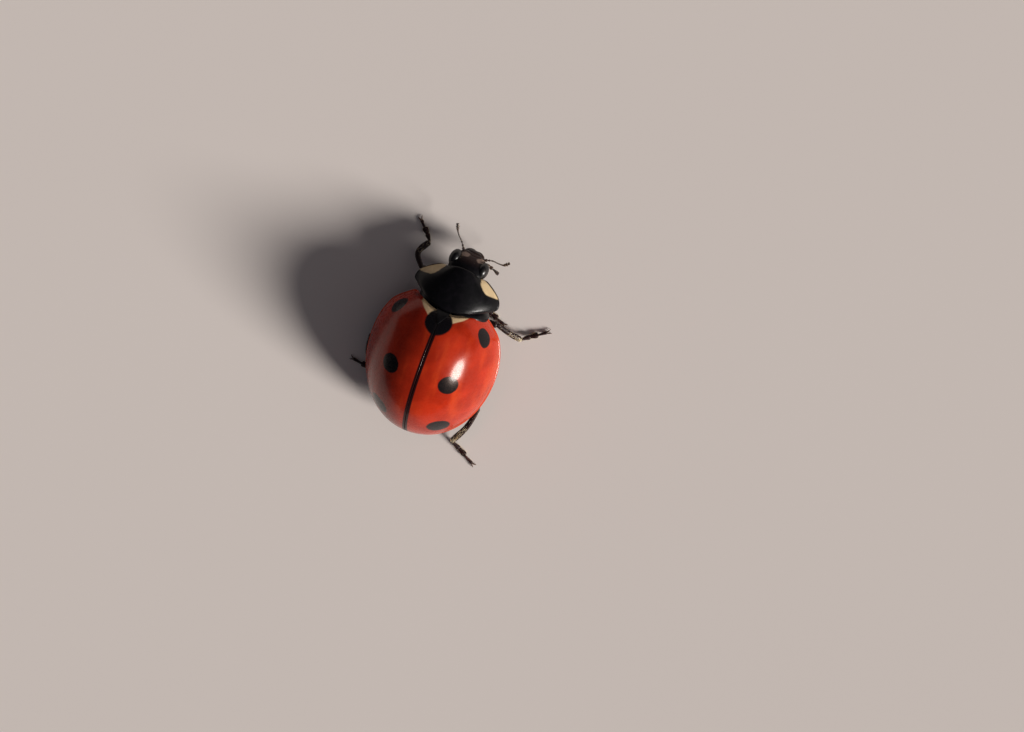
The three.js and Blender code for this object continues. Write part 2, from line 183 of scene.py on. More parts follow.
def grid_faces(rows: int, columns: int, wrap: bool = False) -> Array:
    """Quads between the neighbours of a grid of points stored row by row.

    Args:
        rows: number of rows.
        columns: number of points in a row.
        wrap: whether the last column joins the first one.

    Returns:
        Four point numbers for each quad.
    """
    steps = columns if wrap else columns - 1
    i, j = np.meshgrid(np.arange(rows - 1), np.arange(steps), indexing="ij")
    a = i * columns + j
    b = i * columns + (j + 1) % columns
    return np.stack([a, b, b + columns, a + columns], axis=-1).reshape(-1, 4)


@dataclass
class Shape:
    """Closed bodies as points and blocks of faces.

    Attributes:
        points: a row of three numbers for each point, in millimetres.
        faces: arrays of point numbers, with three or four numbers to a row.
    """

    points: Array
    faces: list[Array]

    def outward(self) -> "Shape":
        """Turns the faces round if the volume that they enclose comes out negative.

        Returns:
            The shape itself.
        """
        volume = 0.0
        for block in self.faces:
            corners = self.points[block]
            for k in range(1, block.shape[1] - 1):
                normal = np.cross(corners[:, k], corners[:, k + 1])
                volume += np.einsum("ij,ij->", corners[:, 0], normal)
        if volume < 0:
            self.faces = [block[:, ::-1] for block in self.faces]
        return self

    def placed(self, matrix: Array, offset: Sequence[float]) -> "Shape":
        """The same shape turned by a matrix and then moved."""
        return Shape(self.points @ matrix.T + np.asarray(offset), self.faces)

    @staticmethod
    def joined(shapes: Iterable["Shape"]) -> "Shape":
        """All the shapes as one, side by side in its lists.

        Args:
            shapes: any number of them.

        Returns:
            The one shape.
        """
        points: list[Array] = []
        faces: list[Array] = []
        count = 0
        for shape in shapes:
            points.append(shape.points)
            faces.extend(block + count for block in shape.faces)
            count += len(shape.points)
        return Shape(np.vstack(points), faces)


def loft(rings: Array) -> Shape:
    """A closed body through rings of points, with a fan to the middle of each end ring.

    Args:
        rings: an array of rows x columns x 3, each row a closed ring.

    Returns:
        The body with its faces pointing out.
    """
    rows, columns, _ = rings.shape
    points = np.vstack([rings.reshape(-1, 3), rings[0].mean(axis=0), rings[-1].mean(axis=0)])
    this = np.arange(columns)
    after = (this + 1) % columns
    last, hub = (rows - 1) * columns, rows * columns
    first_fan = np.stack([np.full(columns, hub), after, this], axis=-1)
    last_fan = np.stack([np.full(columns, hub + 1), last + this, last + after], axis=-1)
    return Shape(points, [grid_faces(rows, columns, True), first_fan, last_fan]).outward()


def slab(upper: Array, lower: Array) -> Shape:
    """A closed body between two grids of one size, with a strip of quads round their border.

    Args:
        upper: rows x columns x 3 points of one face.
        lower: the same number of points of the other face.

    Returns:
        The body with its faces pointing out.
    """
    rows, columns, _ = upper.shape
    below = rows * columns
    index = np.arange(below).reshape(rows, columns)
    border = np.concatenate([index[0, :-1], index[:-1, -1], index[-1, :0:-1], index[:0:-1, 0]])
    after = np.roll(border, -1)
    strip = np.stack([after, border, border + below, after + below], axis=-1)
    face = grid_faces(rows, columns)
    points = np.vstack([upper.reshape(-1, 3), lower.reshape(-1, 3)])
    return Shape(points, [face, (face + below)[:, ::-1], strip]).outward()


def swelling(shares: Array, stops: Stops, blunt: float = BLUNT) -> Array:
    """Radius along a rod: a smooth curve through stops, rounded off at both ends.

    Within the blunt share of an end the radius is multiplied by the height of a quarter circle,
    which stays over 0 so that no ring shrinks to a point.

    Args:
        shares: places from 0 to 1 along the rod.
        stops: (share, radius) pairs from 0 to 1.
        blunt: share of the length that each rounded end takes.

    Returns:
        A radius for each place.
    """
    table = np.asarray(stops, float)
    radius = hermite(table[:, 0], table[:, 1:], shares)[:, 0]
    near = np.minimum(shares, 1 - shares) / blunt
    return radius * np.sqrt(np.clip(1 - (1 - np.clip(near, 0, 1)) ** 2, END_RING**2, 1))


def ring_angles(sides: int) -> Array:
    """The angle of each point of a rod's ring, from straight across."""
    return 2 * math.pi * (np.arange(sides) + 0.5) / sides


def rod(path: Array, radius: Array, flat: float, sides: int) -> Array:
    """Elliptical rings round a path.

    At each point the ring is the point plus radius times the cosine of an angle across the path
    and flat times radius times its sine upwards. Across is the Z axis crossed with the path.

    Args:
        path: the middle line.
        radius: half the width at each point.
        flat: height of a ring divided by its width.
        sides: points in a ring.

    Returns:
        Rings as an array of rows x sides x 3.
    """
    along = unit(np.gradient(path, axis=0))
    across = unit(np.cross(UP, along))
    up = np.cross(along, across)
    angle = ring_angles(sides)
    wide = across[:, None] * np.cos(angle)[None, :, None]
    high = up[:, None] * np.sin(angle)[None, :, None] * flat
    return path[:, None] + radius[:, None, None] * (wide + high)


def segment(points: Sequence[Sequence[float]], stops: Stops, flat: float, sides: int, rows: int,
            part: tuple[float, float] = (0.0, 1.0), blunt: float = BLUNT) -> Array:
    """Rings of one segment of a limb, along a part of a smooth path.

    Args:
        points: the path's points.
        stops: (share of the segment, radius) pairs from 0 to 1.
        flat: height of a ring divided by its width.
        sides: points in a ring.
        rows: number of rings.
        part: shares of the path's length where the segment starts and ends.
        blunt: share of the segment that each rounded end takes.

    Returns:
        Rings as an array of rows x sides x 3.
    """
    share = np.linspace(0, 1, rows)
    return rod(path_at(points, lerp(*part, share)), swelling(share, stops, blunt), flat, sides)


def ball(half: Point, rows: int, columns: int, square: float) -> Array:
    """Rings of an egg about the origin, with its poles on the Y axis.

    Each ring's cosine and sine are raised to 2 / square, so a square over 2 fills the corners.

    Args:
        half: half sizes across, along and up.
        rows: number of rings.
        columns: points in a ring.
        square: exponent of the superellipse.

    Returns:
        Rings as an array of rows x columns x 3.
    """
    tilt = math.pi * (np.arange(rows) + 0.5) / rows
    angle = 2 * math.pi * np.arange(columns) / columns
    power = 2 / square
    c, s = np.cos(angle), np.sin(angle)
    x = half[0] * np.sin(tilt)[:, None] * signed_power(c, power)
    y = -half[1] * np.cos(tilt)[:, None] * np.ones_like(angle)
    z = half[2] * np.sin(tilt)[:, None] * signed_power(s, power)
    return np.stack([x, y, z], axis=-1)


def grid_normals(grid: Array, wrap: bool = False) -> Array:
    """Unit normals of a grid of points, from the cross product of its two slopes.

    Args:
        grid: rows x columns x 3 points.
        wrap: whether the columns close into rings.

    Returns:
        A normal for each point.
    """
    down = np.gradient(grid, axis=0)
    if wrap:
        across = np.roll(grid, -1, axis=1) - np.roll(grid, 1, axis=1)
    else:
        across = np.gradient(grid, axis=1)
    return unit(np.cross(down, across))


# ---------------- places and pieces


@dataclass(frozen=True)
class Dome:
    """The shared outline of the two wing cases.

    Along the body the outline is a curve like an ellipse about the widest line. With fill equal
    to 1 - |share| ** power, the half width is the half width of the case times fill ** (1 / power)
    and the height is the rise times fill ** fullness. The power changes smoothly from the front
    to the rear, and its curve is eased near 0, so that reflections run across the middle evenly.
    The sides draw in at the shoulders.

    Attributes:
        front_power: power of the front curve, where 2 is an ellipse.
        rear_power: power of the rear curve.
        fullness: how the height goes with the fill; a lower one is a fuller dome.
        shoulder_lift: how much higher the rim lies at the shoulders.
        tip_share: share of the rear curve at which the cases end.
        ease: shares over which the curve is eased near 0.
        shoulder_round: how far the sides draw in at the front pole.
        shoulder_from: share of the front curve where they start to.
        shoulder_to: share where they have done so.
    """

    half_width: float = 2.5
    widest_y: float = -0.17
    front_reach: float = 2.65
    rear_reach: float = 3.15
    front_power: float = 2.25
    rear_power: float = 2.05
    rise: float = 2.52
    fullness: float = 0.68
    rim_z: float = 0.96
    shoulder_lift: float = 0.26
    tip_share: float = 0.9995
    ease: float = 0.35
    shoulder_round: float = 0.36
    shoulder_from: float = 0.56
    shoulder_to: float = 1.0
    least_half: float = 0.004
    least_rise: float = 0.002

    def raised(self, value: Array, power: Array) -> Array:
        """value ** power for a power near 2, as value ** 2 times an eased
        ((value ** 2 + ease ** 2) / (1 + ease ** 2)) ** (power / 2 - 1)."""
        square = np.asarray(value) ** 2
        return square * ((square + self.ease**2) / (1 + self.ease**2)) ** (power / 2 - 1)

    @property
    def tip_y(self) -> float:
        """Where the wing cases end at the rear."""
        return self.widest_y + self.tip_share * self.rear_reach

    def share(self, y: Array) -> Array:
        """Share of the length at y: -1 at the pole of the front curve and 1 at the rear tip."""
        away = np.asarray(y, float) - self.widest_y
        return away / np.where(away < 0, self.front_reach, self.rear_reach)

    def rim(self, share: Array) -> Array:
        """Height of the rim: level at the back, climbing to the shoulders."""
        return self.rim_z + self.shoulder_lift * smoothstep(-np.asarray(share), 0.1, 0.95)

    def section(self, share: Array, inset: float = 0.0) -> tuple[Array, Array, Array, Array, Array]:
        """The cross-section at a share of the length, moved inwards by an inset.

        Args:
            share: places from -1 to 1.
            inset: how far inside the outer surface the section lies.

        Returns:
            y, half width, height over the rim, height of the rim and the power.
        """
        share = np.asarray(share, float)
        rear = share > 0
        power = lerp(self.front_power, self.rear_power, smoothstep(share, -0.6, 0.6))
        fill = np.clip(1 - self.raised(share, power), 0, 1)
        width, height = fill ** (1 / power), fill**self.fullness
        y = self.widest_y + share * np.where(rear, self.rear_reach - inset, self.front_reach)
        half = np.where(rear, (self.half_width - inset) * width, self.half_width * width - inset)
        half = half - self.shoulder_round * smoothstep(-share, self.shoulder_from, self.shoulder_to)
        tall = np.where(rear, (self.rise - inset) * height, self.rise * height - inset)
        half, tall = np.maximum(half, self.least_half), np.maximum(tall, self.least_rise)
        return y, half, tall, self.rim(share), power

    def points(self, share: Array, angle: Array, inset: float = 0.0, inner_x: float = 0.0) -> Array:
        """Points of the surface: x is the half width times the sine of the angle, and the lift is
        the height times (1 - sine ** power) ** fullness.

        Args:
            share: places along the body.
            angle: 0 on the middle line and a quarter turn at the rim.
            inset: how far inside the outer surface they lie.
            inner_x: x of the inner edge of a wing case.

        Returns:
            An array of points with x positive.
        """
        y, half, tall, rim, power = self.section(share, inset)
        side = np.sin(np.asarray(angle, float))
        lift = np.clip(1 - self.raised(side, power), 0, 1) ** self.fullness
        x = inner_x + (half - inner_x) * side
        return np.stack(np.broadcast_arrays(x, y, rim + tall * lift), axis=-1)

    def top_z(self, x: Array, y: Array) -> Array:
        """Height of the outer surface over places in plan."""
        _, half, tall, rim, power = self.section(self.share(y))
        return rim + tall * np.clip(1 - self.raised(np.abs(x) / half, power), 0, 1) ** self.fullness


@dataclass(frozen=True)
class Stance:
    """Where the animal's own frame lies in the row frame.

    Attributes:
        shift: how far it is moved, in millimetres.
    """

    shift: Point

    @classmethod
    def from_frame(cls, dome: Dome) -> "Stance":
        """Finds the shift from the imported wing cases: their inner edges and their rear tips.

        Args:
            dome: the outline that the wing cases are drawn from.

        Returns:
            The stance.
        """
        left_low, left_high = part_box("elytron_left")
        _, right_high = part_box("elytron_right")
        middle = (left_low.x + right_high.x) / 2 / MM
        return cls((middle, left_high.y / MM - dome.tip_y, 0.0))

    def metres(self, points: Array) -> Array:
        """Points of the animal's frame as points of the row frame, in metres."""
        return (np.asarray(points, float) + np.asarray(self.shift)) * MM


@dataclass
class Maker:
    """Turns shapes into pieces that ride on the body.

    Attributes:
        stance: where the animal stands in the row frame.
        pieces: what has been made so far.
    """

    stance: Stance
    pieces: list[bpy.types.Object] = field(default_factory=list)

    def piece(self, name: str, shape: Shape, material: bpy.types.Material, slot: Slot,
              stands_for: Sequence[str] = (), sharp: float = 50.0) -> bpy.types.Object:
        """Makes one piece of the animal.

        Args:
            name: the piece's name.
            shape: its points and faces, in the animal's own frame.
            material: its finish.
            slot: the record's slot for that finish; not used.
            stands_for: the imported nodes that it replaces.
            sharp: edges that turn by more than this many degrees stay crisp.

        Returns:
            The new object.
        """
        mesh = bpy.data.meshes.new(name)
        faces: list[list[int]] = []
        for block in shape.faces:
            faces.extend(block.tolist())
        mesh.from_pydata(self.stance.metres(shape.points).tolist(), [], faces)
        mesh.polygons.foreach_set("use_smooth", np.ones(len(mesh.polygons), bool))
        mesh.set_sharp_from_angle(angle=math.radians(sharp))
        mesh.materials.append(material)
        mesh.update()
        made = bpy.data.objects.new(name, mesh)
        bpy.context.scene.collection.objects.link(made)
        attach(made, "root")
        if stands_for:
            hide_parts(*stands_for)
        self.pieces.append(made)
        LOG.info("%s: %d points, %d faces", name, len(mesh.vertices), len(mesh.polygons))
        return made


# ---------------- finishes as expressions

Value = Union["Wire", float]


class Wire:
    """A socket of a finish that takes part in Python arithmetic."""

    def __init__(self, finish: "Finish", socket: bpy.types.NodeSocket) -> None:
        """Keeps the finish whose nodes the wire belongs to, and the socket."""
        self.finish = finish
        self.socket = socket

    def math(self, operation: str, first: Value, second: Value = 0.0, third: Value = 0.0) -> "Wire":
        """The result of one Math node."""
        inputs = {0: first, 1: second, 2: third}
        return self.finish.node("ShaderNodeMath", {"operation": operation}, inputs)

    def __add__(self, other: Value) -> "Wire":
        """self + other."""
        return self.math("ADD", self, other)

    def __sub__(self, other: Value) -> "Wire":
        """self - other."""
        return self.math("SUBTRACT", self, other)

    def __mul__(self, other: Value) -> "Wire":
        """self * other."""
        return self.math("MULTIPLY", self, other)

    def __abs__(self) -> "Wire":
        """The size of the value without its sign."""
        return self.math("ABSOLUTE", self)

    def above(self, other: Value) -> "Wire":
        """The larger of the two values."""
        return self.math("MAXIMUM", self, other)

    def ramp(self, low: float, high: float, start: float = 0.0, end: float = 1.0) -> "Wire":
        """A smooth step from start, where the value is low, to end, where it is high.

        Args:
            low: the value at which it starts.
            high: the value at which it ends.
            start: the result up to low.
            end: the result from high on.

        Returns:
            The result.
        """
        settings = {"interpolation_type": "SMOOTHSTEP"}
        inputs = {0: self, 1: low, 2: high, 3: start, 4: end}
        return self.finish.node("ShaderNodeMapRange", settings, inputs)


class Finish:
    """A material whose nodes are written as expressions.

    Its coordinates are Object coordinates turned into millimetres in the animal's own frame.
    """

    def __init__(self, name: str, stance: Stance) -> None:
        """Starts an empty material.

        Args:
            name: the material's name.
            stance: where the animal's frame lies.
        """
        self.material = bpy.data.materials.new(name)
        self.material.use_nodes = True
        self.tree = self.material.node_tree
        self.tree.nodes.clear()
        object_place = self.node("ShaderNodeTexCoord", output="Object")
        shift = tuple(-v for v in stance.shift)
        inputs = {"Vector": object_place, "Location": shift, "Scale": (1 / MM,) * 3}
        self.place = self.node("ShaderNodeMapping", {"vector_type": "POINT"}, inputs)
        self.x, self.y, self.z = self.split(self.place)

    def node(self, kind: str, settings: Optional[dict[str, Any]] = None,
             inputs: Optional[dict[Any, Any]] = None, output: Any = 0) -> Wire:
        """Adds any node.

        Args:
            kind: the node's type.
            settings: its properties, set first.
            inputs: a value or a wire for each socket, by name or number.
            output: the socket that is wanted, by name or number.

        Returns:
            The wanted output.
        """
        made = self.tree.nodes.new(kind)
        for key, value in (settings or {}).items():
            setattr(made, key, value)
        for key, value in (inputs or {}).items():
            if isinstance(value, Wire):
                self.tree.links.new(value.socket, made.inputs[key])
            elif made.inputs[key].type == "RGBA" and len(value) == 3:
                made.inputs[key].default_value = (*value, 1.0)
            else:
                made.inputs[key].default_value = value
        return Wire(self, made.outputs[output])

    def split(self, vector: Wire) -> tuple[Wire, Wire, Wire]:
        """The three numbers of a vector.

        Args:
            vector: the vector.

        Returns:
            X, y and z.
        """
        first = self.node("ShaderNodeSeparateXYZ", inputs={0: vector})
        outputs = first.socket.node.outputs
        return first, Wire(self, outputs[1]), Wire(self, outputs[2])

    def join(self, x: Value, y: Value, z: Value) -> Wire:
        """A vector of three numbers."""
        return self.node("ShaderNodeCombineXYZ", inputs={0: x, 1: y, 2: z})

    def vector(self, operation: str, first: Any, second: Any = (0.0, 0.0, 0.0)) -> Wire:
        """The result of one Vector Math node: a number for LENGTH, or else a vector.

        Args:
            operation: the node's operation.
            first: a vector.
            second: another one, if the operation takes two.

        Returns:
            The result.
        """
        output = "Value" if operation == "LENGTH" else "Vector"
        inputs = {0: first, 1: second}
        return self.node("ShaderNodeVectorMath", {"operation": operation}, inputs, output)

    def noise(self, scale: float, detail: float = 3.0, place: Optional[Wire] = None,
              output: str = "Fac", rough: float = 0.5) -> Wire:
        """Cloudy noise with the given number of patches to a millimetre, about 0 to 1.

        Args:
            scale: patches to a millimetre.
            detail: number of finer layers.
            place: coordinates, if not the plain ones.
            output: Fac or Color.
            rough: how strong the finer layers are.

        Returns:
            The noise.
        """
        inputs = {"Vector": place or self.place, "Scale": scale, "Detail": detail,
                  "Roughness": rough}
        return self.node("ShaderNodeTexNoise", None, inputs, output)

    def cells(self, scale: float) -> Wire:
        """Distance to the nearest of scattered points, with so many of them to a millimetre."""
        inputs = {"Vector": self.place, "Scale": scale}
        return self.node("ShaderNodeTexVoronoi", {"feature": "F1"}, inputs, "Distance")

    def mix(self, factor: Value, first: Any, second: Any) -> Wire:
        """A blend of two colours: the first at 0 and the second at 1."""
        settings = {"data_type": "RGBA", "blend_type": "MIX"}
        return self.node("ShaderNodeMix", settings, {0: factor, 6: first, 7: second}, 2)

    def bump(self, height: Wire, depth: float, normal: Optional[Wire] = None) -> Wire:
        """A normal from a height of 0 to 1, where 1 stands the given number of mm proud.

        Args:
            height: the height.
            depth: millimetres for a height of 1.
            normal: the normal to start from, if not the plain one.

        Returns:
            The normal.
        """
        inputs: dict[str, Any] = {"Strength": 1.0, "Distance": depth * MM, "Height": height}
        if normal is not None:
            inputs["Normal"] = normal
        return self.node("ShaderNodeBump", None, inputs)

    def surface(self, **inputs: Any) -> bpy.types.Material:
        """Ends the material with one Principled shader; underscores in names stand for spaces.

        Args:
            inputs: the shader's inputs.

        Returns:
            The finished material.
        """
        named = {key.replace("_", " "): value for key, value in inputs.items()}
        shader = self.node("ShaderNodeBsdfPrincipled", None, named)
        end = self.tree.nodes.new("ShaderNodeOutputMaterial")
        self.tree.links.new(shader.socket, end.inputs["Surface"])
        return self.material


# ---------------- the finishes of the animal


@dataclass(frozen=True)
class Spot:
    """A mark on the left side, mirrored on the right.

    Attributes:
        x: its middle, across.
        y: its middle, along.
        half: its half sizes.
        edge: half the width of its faded edge, as a share of its size.
    """

    x: float
    y: float
    half: Point
    edge: float = 0.07

    def mask(self, finish: Finish, place: Wire, z: float) -> Wire:
        """1 inside an egg about the mark's middle, fading over its edge.

        Args:
            finish: the material that it is drawn in.
            place: mirrored coordinates.
            z: height of the middle.

        Returns:
            The mask.
        """
        off = finish.vector("SUBTRACT", place, (self.x, self.y, z))
        scaled = finish.vector("MULTIPLY", off, tuple(1 / v for v in self.half))
        return finish.vector("LENGTH", scaled).ramp(1 - self.edge, 1 + self.edge, 1.0, 0.0)


def mirrored_place(finish: Finish, wander: float) -> Wire:
    """Coordinates folded onto the left side and pushed about by cloudy noise.

    Args:
        finish: the material.
        wander: how far they are pushed, in millimetres, so that drawn edges aren't straight.

    Returns:
        The coordinates.
    """
    folded = finish.join(abs(finish.x), finish.y, finish.z)
    cloud = finish.noise(2.6, 3.0, finish.place, "Color")
    push = finish.vector("SUBTRACT", cloud, (0.5, 0.5, 0.5))
    scaled = finish.vector("MULTIPLY", push, (2 * wander,) * 3)
    return finish.vector("ADD", folded, scaled)


def pitted(finish: Finish, pits: float, pit_depth: float) -> Wire:
    """The normal of a shell plate: small round pits over a swell 0.003 mm high.

    Args:
        finish: the material.
        pits: pits to a millimetre.
        pit_depth: their depth in millimetres.

    Returns:
        The normal.
    """
    pit = finish.cells(pits).ramp(0.10, 0.36)
    return finish.bump(finish.noise(3.5, 2.0), 0.003, finish.bump(pit, pit_depth))


@dataclass(frozen=True)
class WingCaseFinish:
    """Glossy red shell with seven black spots, a pale wedge beside the small shield and a dark band
    along the seam: the seam's own dark line, widened by painted shade of the groove.

    Attributes:
        spots: the middle spot, of which each case has half, and the left case's own three.
        wedge_slope: how far the wedge's rear edge runs forward for each millimetre outwards.
    """

    red: Colour = (0.50, 0.030, 0.008)
    deep_red: Colour = (0.33, 0.018, 0.005)
    bright_red: Colour = (0.62, 0.060, 0.012)
    # Paler red for the low band by the rim: partly the flared rim's own colour, partly a painted
    # reflection of the floor.
    rim_red_and_reflection: Colour = (0.64, 0.085, 0.035)
    black: Colour = (0.0045, 0.0045, 0.006)
    # Colour of the band along the seam: the seam's own dark line, and painted shade of the groove
    # between the cases.
    seam: Colour = (0.018, 0.003, 0.004)
    cream: Colour = (0.90, 0.66, 0.38)
    spots: tuple[Spot, ...] = (
        Spot(0.0, -2.05, (0.50, 0.52, 0.6)),
        Spot(1.68, -1.86, (0.33, 0.40, 0.34)),
        Spot(1.17, 0.0, (0.42, 0.36, 0.38)),
        Spot(1.22, 1.96, (0.48, 0.38, 0.46)),
    )
    wedge_y: float = -2.13
    wedge_x: float = 0.50
    wedge_slope: float = 0.60
    wedge_end: float = 0.98
    seam_line_and_shade_half: float = 0.10
    pits: float = 13.0
    pit_depth: float = 0.00045
    shine: float = 0.15
    shine_tint: Colour = (1.0, 0.6, 0.45)
    coat: float = 0.36
    coat_rough: float = 0.16

    def material(self, stance: Stance, dome: Dome) -> bpy.types.Material:
        """Builds the material.

        Args:
            stance: where the animal's frame lies.
            dome: the shape that the marks lie on.

        Returns:
            The finished material.
        """
        finish = Finish("wing_case_red", stance)
        place = mirrored_place(finish, 0.035)
        side, along, height = finish.split(place)
        masks = [spot.mask(finish, place, float(dome.top_z(spot.x, spot.y))) for spot in self.spots]
        black = masks[0].above(masks[1]).above(masks[2]).above(masks[3])
        behind = along - self.wedge_y + (side - self.wedge_x) * self.wedge_slope
        outside = side.ramp(self.wedge_end - 0.08, self.wedge_end, 1.0, 0.0)
        wedge = behind.ramp(-0.03, 0.03, 1.0, 0.0) * outside
        # Dark band along the seam: the seam's own dark line, widened by painted shade of the
        # groove.
        seam = abs(finish.x).ramp(self.seam_line_and_shade_half - 0.025, self.seam_line_and_shade_half + 0.015, 1.0, 0.0)
        clouds = finish.noise(0.75, 5.0, rough=0.52)
        streaks = finish.noise(1.1, 4.0, finish.vector("MULTIPLY", finish.place, (2.2, 0.45, 1.0)))
        base = finish.mix(clouds.ramp(0.38, 0.66), self.deep_red, self.red)
        base = finish.mix(streaks.ramp(0.48, 0.80, 0.0, 0.6), base, self.bright_red)
        # Paler red towards the rim: partly the rim's own colour, partly a painted reflection of the
        # floor.
        rim = height.ramp(0.95, 1.6, 0.55, 0.0)
        base = finish.mix(rim, base, self.rim_red_and_reflection)
        base = finish.mix(wedge, base, self.cream)
        base = finish.mix(seam, base, self.seam)
        base = finish.mix(black, base, self.black)
        rough = finish.noise(9.0, 3.0).ramp(0.3, 0.8, 0.24, 0.36)
        rough = rough + height.ramp(1.0, 1.25, 0.3, 0.0) + seam * 0.15
        normal = pitted(finish, self.pits, self.pit_depth)
        return finish.surface(
            Base_Color=base, Roughness=rough, Normal=normal, IOR=SHELL_IOR,
            Specular_IOR_Level=self.shine, Specular_Tint=self.shine_tint, Coat_Weight=self.coat,
            Coat_Roughness=self.coat_rough,
        )


@dataclass(frozen=True)
class ShellFinish:
    """Black shell plate with fine pits.

    Attributes:
        name: the material's name.
        black: its colour.
        tint: the colour of its cloudy lighter places.
        rough: roughness of its smoothest places.
        pits: pits to a millimetre.
        pit_depth: their depth in millimetres.
        coat: weight of the clear layer over it.
        shine: how strongly the layer under that mirrors.
    """

    name: str = "shell_black"
    black: Colour = (0.0026, 0.0026, 0.0034)
    tint: Colour = (0.006, 0.005, 0.007)
    rough: float = 0.30
    pits: float = 16.0
    pit_depth: float = 0.0008
    coat: float = 0.07
    shine: float = 0.22

    def painted(self, finish: Finish, base: Wire) -> Wire:
        """The cloudy black with the plate's own marks on it, of which a plain plate has none."""
        return base

    def material(self, stance: Stance) -> bpy.types.Material:
        """Builds the material.

        Args:
            stance: where the animal's frame lies.

        Returns:
            The finished material.
        """
        finish = Finish(self.name, stance)
        cloud = finish.noise(5.0, 4.0).ramp(0.40, 0.75)
        base = self.painted(finish, finish.mix(cloud, self.black, self.tint))
        rough = finish.noise(14.0, 3.0).ramp(0.3, 0.8, self.rough, self.rough + 0.12)
        normal = pitted(finish, self.pits, self.pit_depth)
        return finish.surface(
            Base_Color=base, Roughness=rough, Normal=normal, IOR=SHELL_IOR,
            Specular_IOR_Level=self.shine, Coat_Weight=self.coat, Coat_Roughness=COAT_ROUGH,
        )


@dataclass(frozen=True)
class NeckShieldFinish(ShellFinish):
    """Black neck shield with a cream patch at each front corner and a thin brown rim.

    The patch is what lies outside two lines in plan that meet at its rounded inner corner.

    Attributes:
        middle_x: the line that the patches are mirrored about.
        corner: the patch's inner corner, as its distance from that line and y.
        front_point: another point of its inner edge.
        side_point: another point of its rear edge.
    """

    name: str = "neck_shield_black"
    cream: Colour = (0.74, 0.57, 0.33)
    brown: Colour = (0.13, 0.040, 0.020)
    middle_x: float = -0.10
    corner: tuple[float, float] = (1.0, -3.35)
    corner_round: float = 0.2
    front_point: tuple[float, float] = (0.73, -3.70)
    side_point: tuple[float, float] = (1.43, -3.24)
    rim_z: float = 1.25

    def painted(self, finish: Finish, base: Wire) -> Wire:
        """The patches and the rim on the cloudy black.

        Args:
            finish: the open material.
            base: the cloudy black.

        Returns:
            The colour.
        """
        wander = finish.noise(4.0, 2.0).ramp(0.0, 1.0, -0.03, 0.03)
        side = abs(finish.x - self.middle_x) + wander
        (cx, cy), (fx, fy), (sx, sy) = self.corner, self.front_point, self.side_point
        outside = side - cx - (finish.y - cy) * ((fx - cx) / (fy - cy))
        ahead = (side - cx) * ((sy - cy) / (sx - cx)) + cy - finish.y
        patch = outside.math("SMOOTH_MIN", outside, ahead, self.corner_round).ramp(-0.015, 0.03)
        patch = patch * finish.z.ramp(self.rim_z + 0.05, self.rim_z + 0.09)
        dusk = finish.noise(3.0, 4.0).ramp(0.3, 0.8, 0.75, 1.0)
        cream = finish.mix(dusk, self.brown, self.cream)
        base = finish.mix(patch, base, cream)
        rim = finish.z.ramp(self.rim_z - 0.02, self.rim_z + 0.05, 0.8, 0.0)
        return finish.mix(rim, base, self.brown)


@dataclass(frozen=True)
class HeadFinish(ShellFinish):
    """Black head with a pale spot in front of each eye, browner towards the mouth."""

    name: str = "head_black"
    pale: Colour = (0.30, 0.21, 0.17)
    brown: Colour = (0.036, 0.014, 0.012)
    pits: float = 17.0
    pit_depth: float = 0.0022
    spots: tuple[Point, ...] = ((0.08, -4.37, 1.22), (-0.54, -4.31, 1.22))
    spot_half: Point = (0.17, 0.075, 0.30)

    def painted(self, finish: Finish, base: Wire) -> Wire:
        """The brown and the spots on the cloudy black.

        Args:
            finish: the open material.
            base: the cloudy black.

        Returns:
            The colour.
        """
        front = finish.y.ramp(-4.45, -4.05, 1.0, 0.0)
        base = finish.mix(front * 0.8, base, self.brown)
        ragged = finish.noise(9.0, 3.0) * 0.7
        for x, y, z in self.spots:
            off = finish.vector("SUBTRACT", finish.place, (x, y, z))
            scaled = finish.vector("MULTIPLY", off, tuple(1 / v for v in self.spot_half))
            mask = (finish.vector("LENGTH", scaled) + ragged).ramp(1.0, 1.45, 0.9, 0.0)
            base = finish.mix(mask, base, self.pale)
        return base


@dataclass(frozen=True)
class UndersideFinish(ShellFinish):
    """Black underside with a white plate on each side behind the middle legs' roots."""

    name: str = "underside_black"
    white: Colour = (0.62, 0.55, 0.42)
    plate: Spot = Spot(1.62, -1.62, (0.34, 0.30, 0.5))
    plate_z: float = 0.95

    def painted(self, finish: Finish, base: Wire) -> Wire:
        """The white plates on the cloudy black.

        Args:
            finish: the open material.
            base: the cloudy black.

        Returns:
            The colour.
        """
        place = mirrored_place(finish, 0.03)
        mask = self.plate.mask(finish, place, self.plate_z)
        return finish.mix(mask, base, self.white)


@dataclass(frozen=True)
class HornFinish:
    """Horny finish of legs, mouth parts, feelers and bristles.

    Attributes:
        name: the material's name.
        dark: colour of most of it.
        light: colour of its cloudy lighter places.
        rough: roughness.
        grain: ridges to a millimetre.
        depth: their height in millimetres.
        lit: share of the surface that is light, from 0 to 1.
        coat: weight of the clear layer over it.
        shine: how strongly the layer under it mirrors, 0.5 being plain horn.
    """

    name: str
    dark: Colour
    light: Colour
    rough: float = 0.34
    grain: float = 24.0
    depth: float = 0.0012
    lit: float = 0.4
    coat: float = 0.25
    shine: float = 0.5

    def material(self, stance: Stance) -> bpy.types.Material:
        """Builds the material.

        Args:
            stance: where the animal's frame lies.

        Returns:
            The finished material.
        """
        finish = Finish(self.name, stance)
        cloud = finish.noise(4.0, 5.0, rough=0.6).ramp(0.75 - self.lit * 0.6, 0.95 - self.lit * 0.6)
        base = finish.mix(cloud, self.dark, self.light)
        rough = finish.noise(20.0, 2.0).ramp(0.3, 0.8, self.rough, self.rough + 0.14)
        normal = finish.bump(finish.noise(self.grain, 3.0), self.depth)
        return finish.surface(
            Base_Color=base, Roughness=rough, Normal=normal, IOR=HORN_IOR,
            Specular_IOR_Level=self.shine, Coat_Weight=self.coat, Coat_Roughness=COAT_ROUGH,
        )


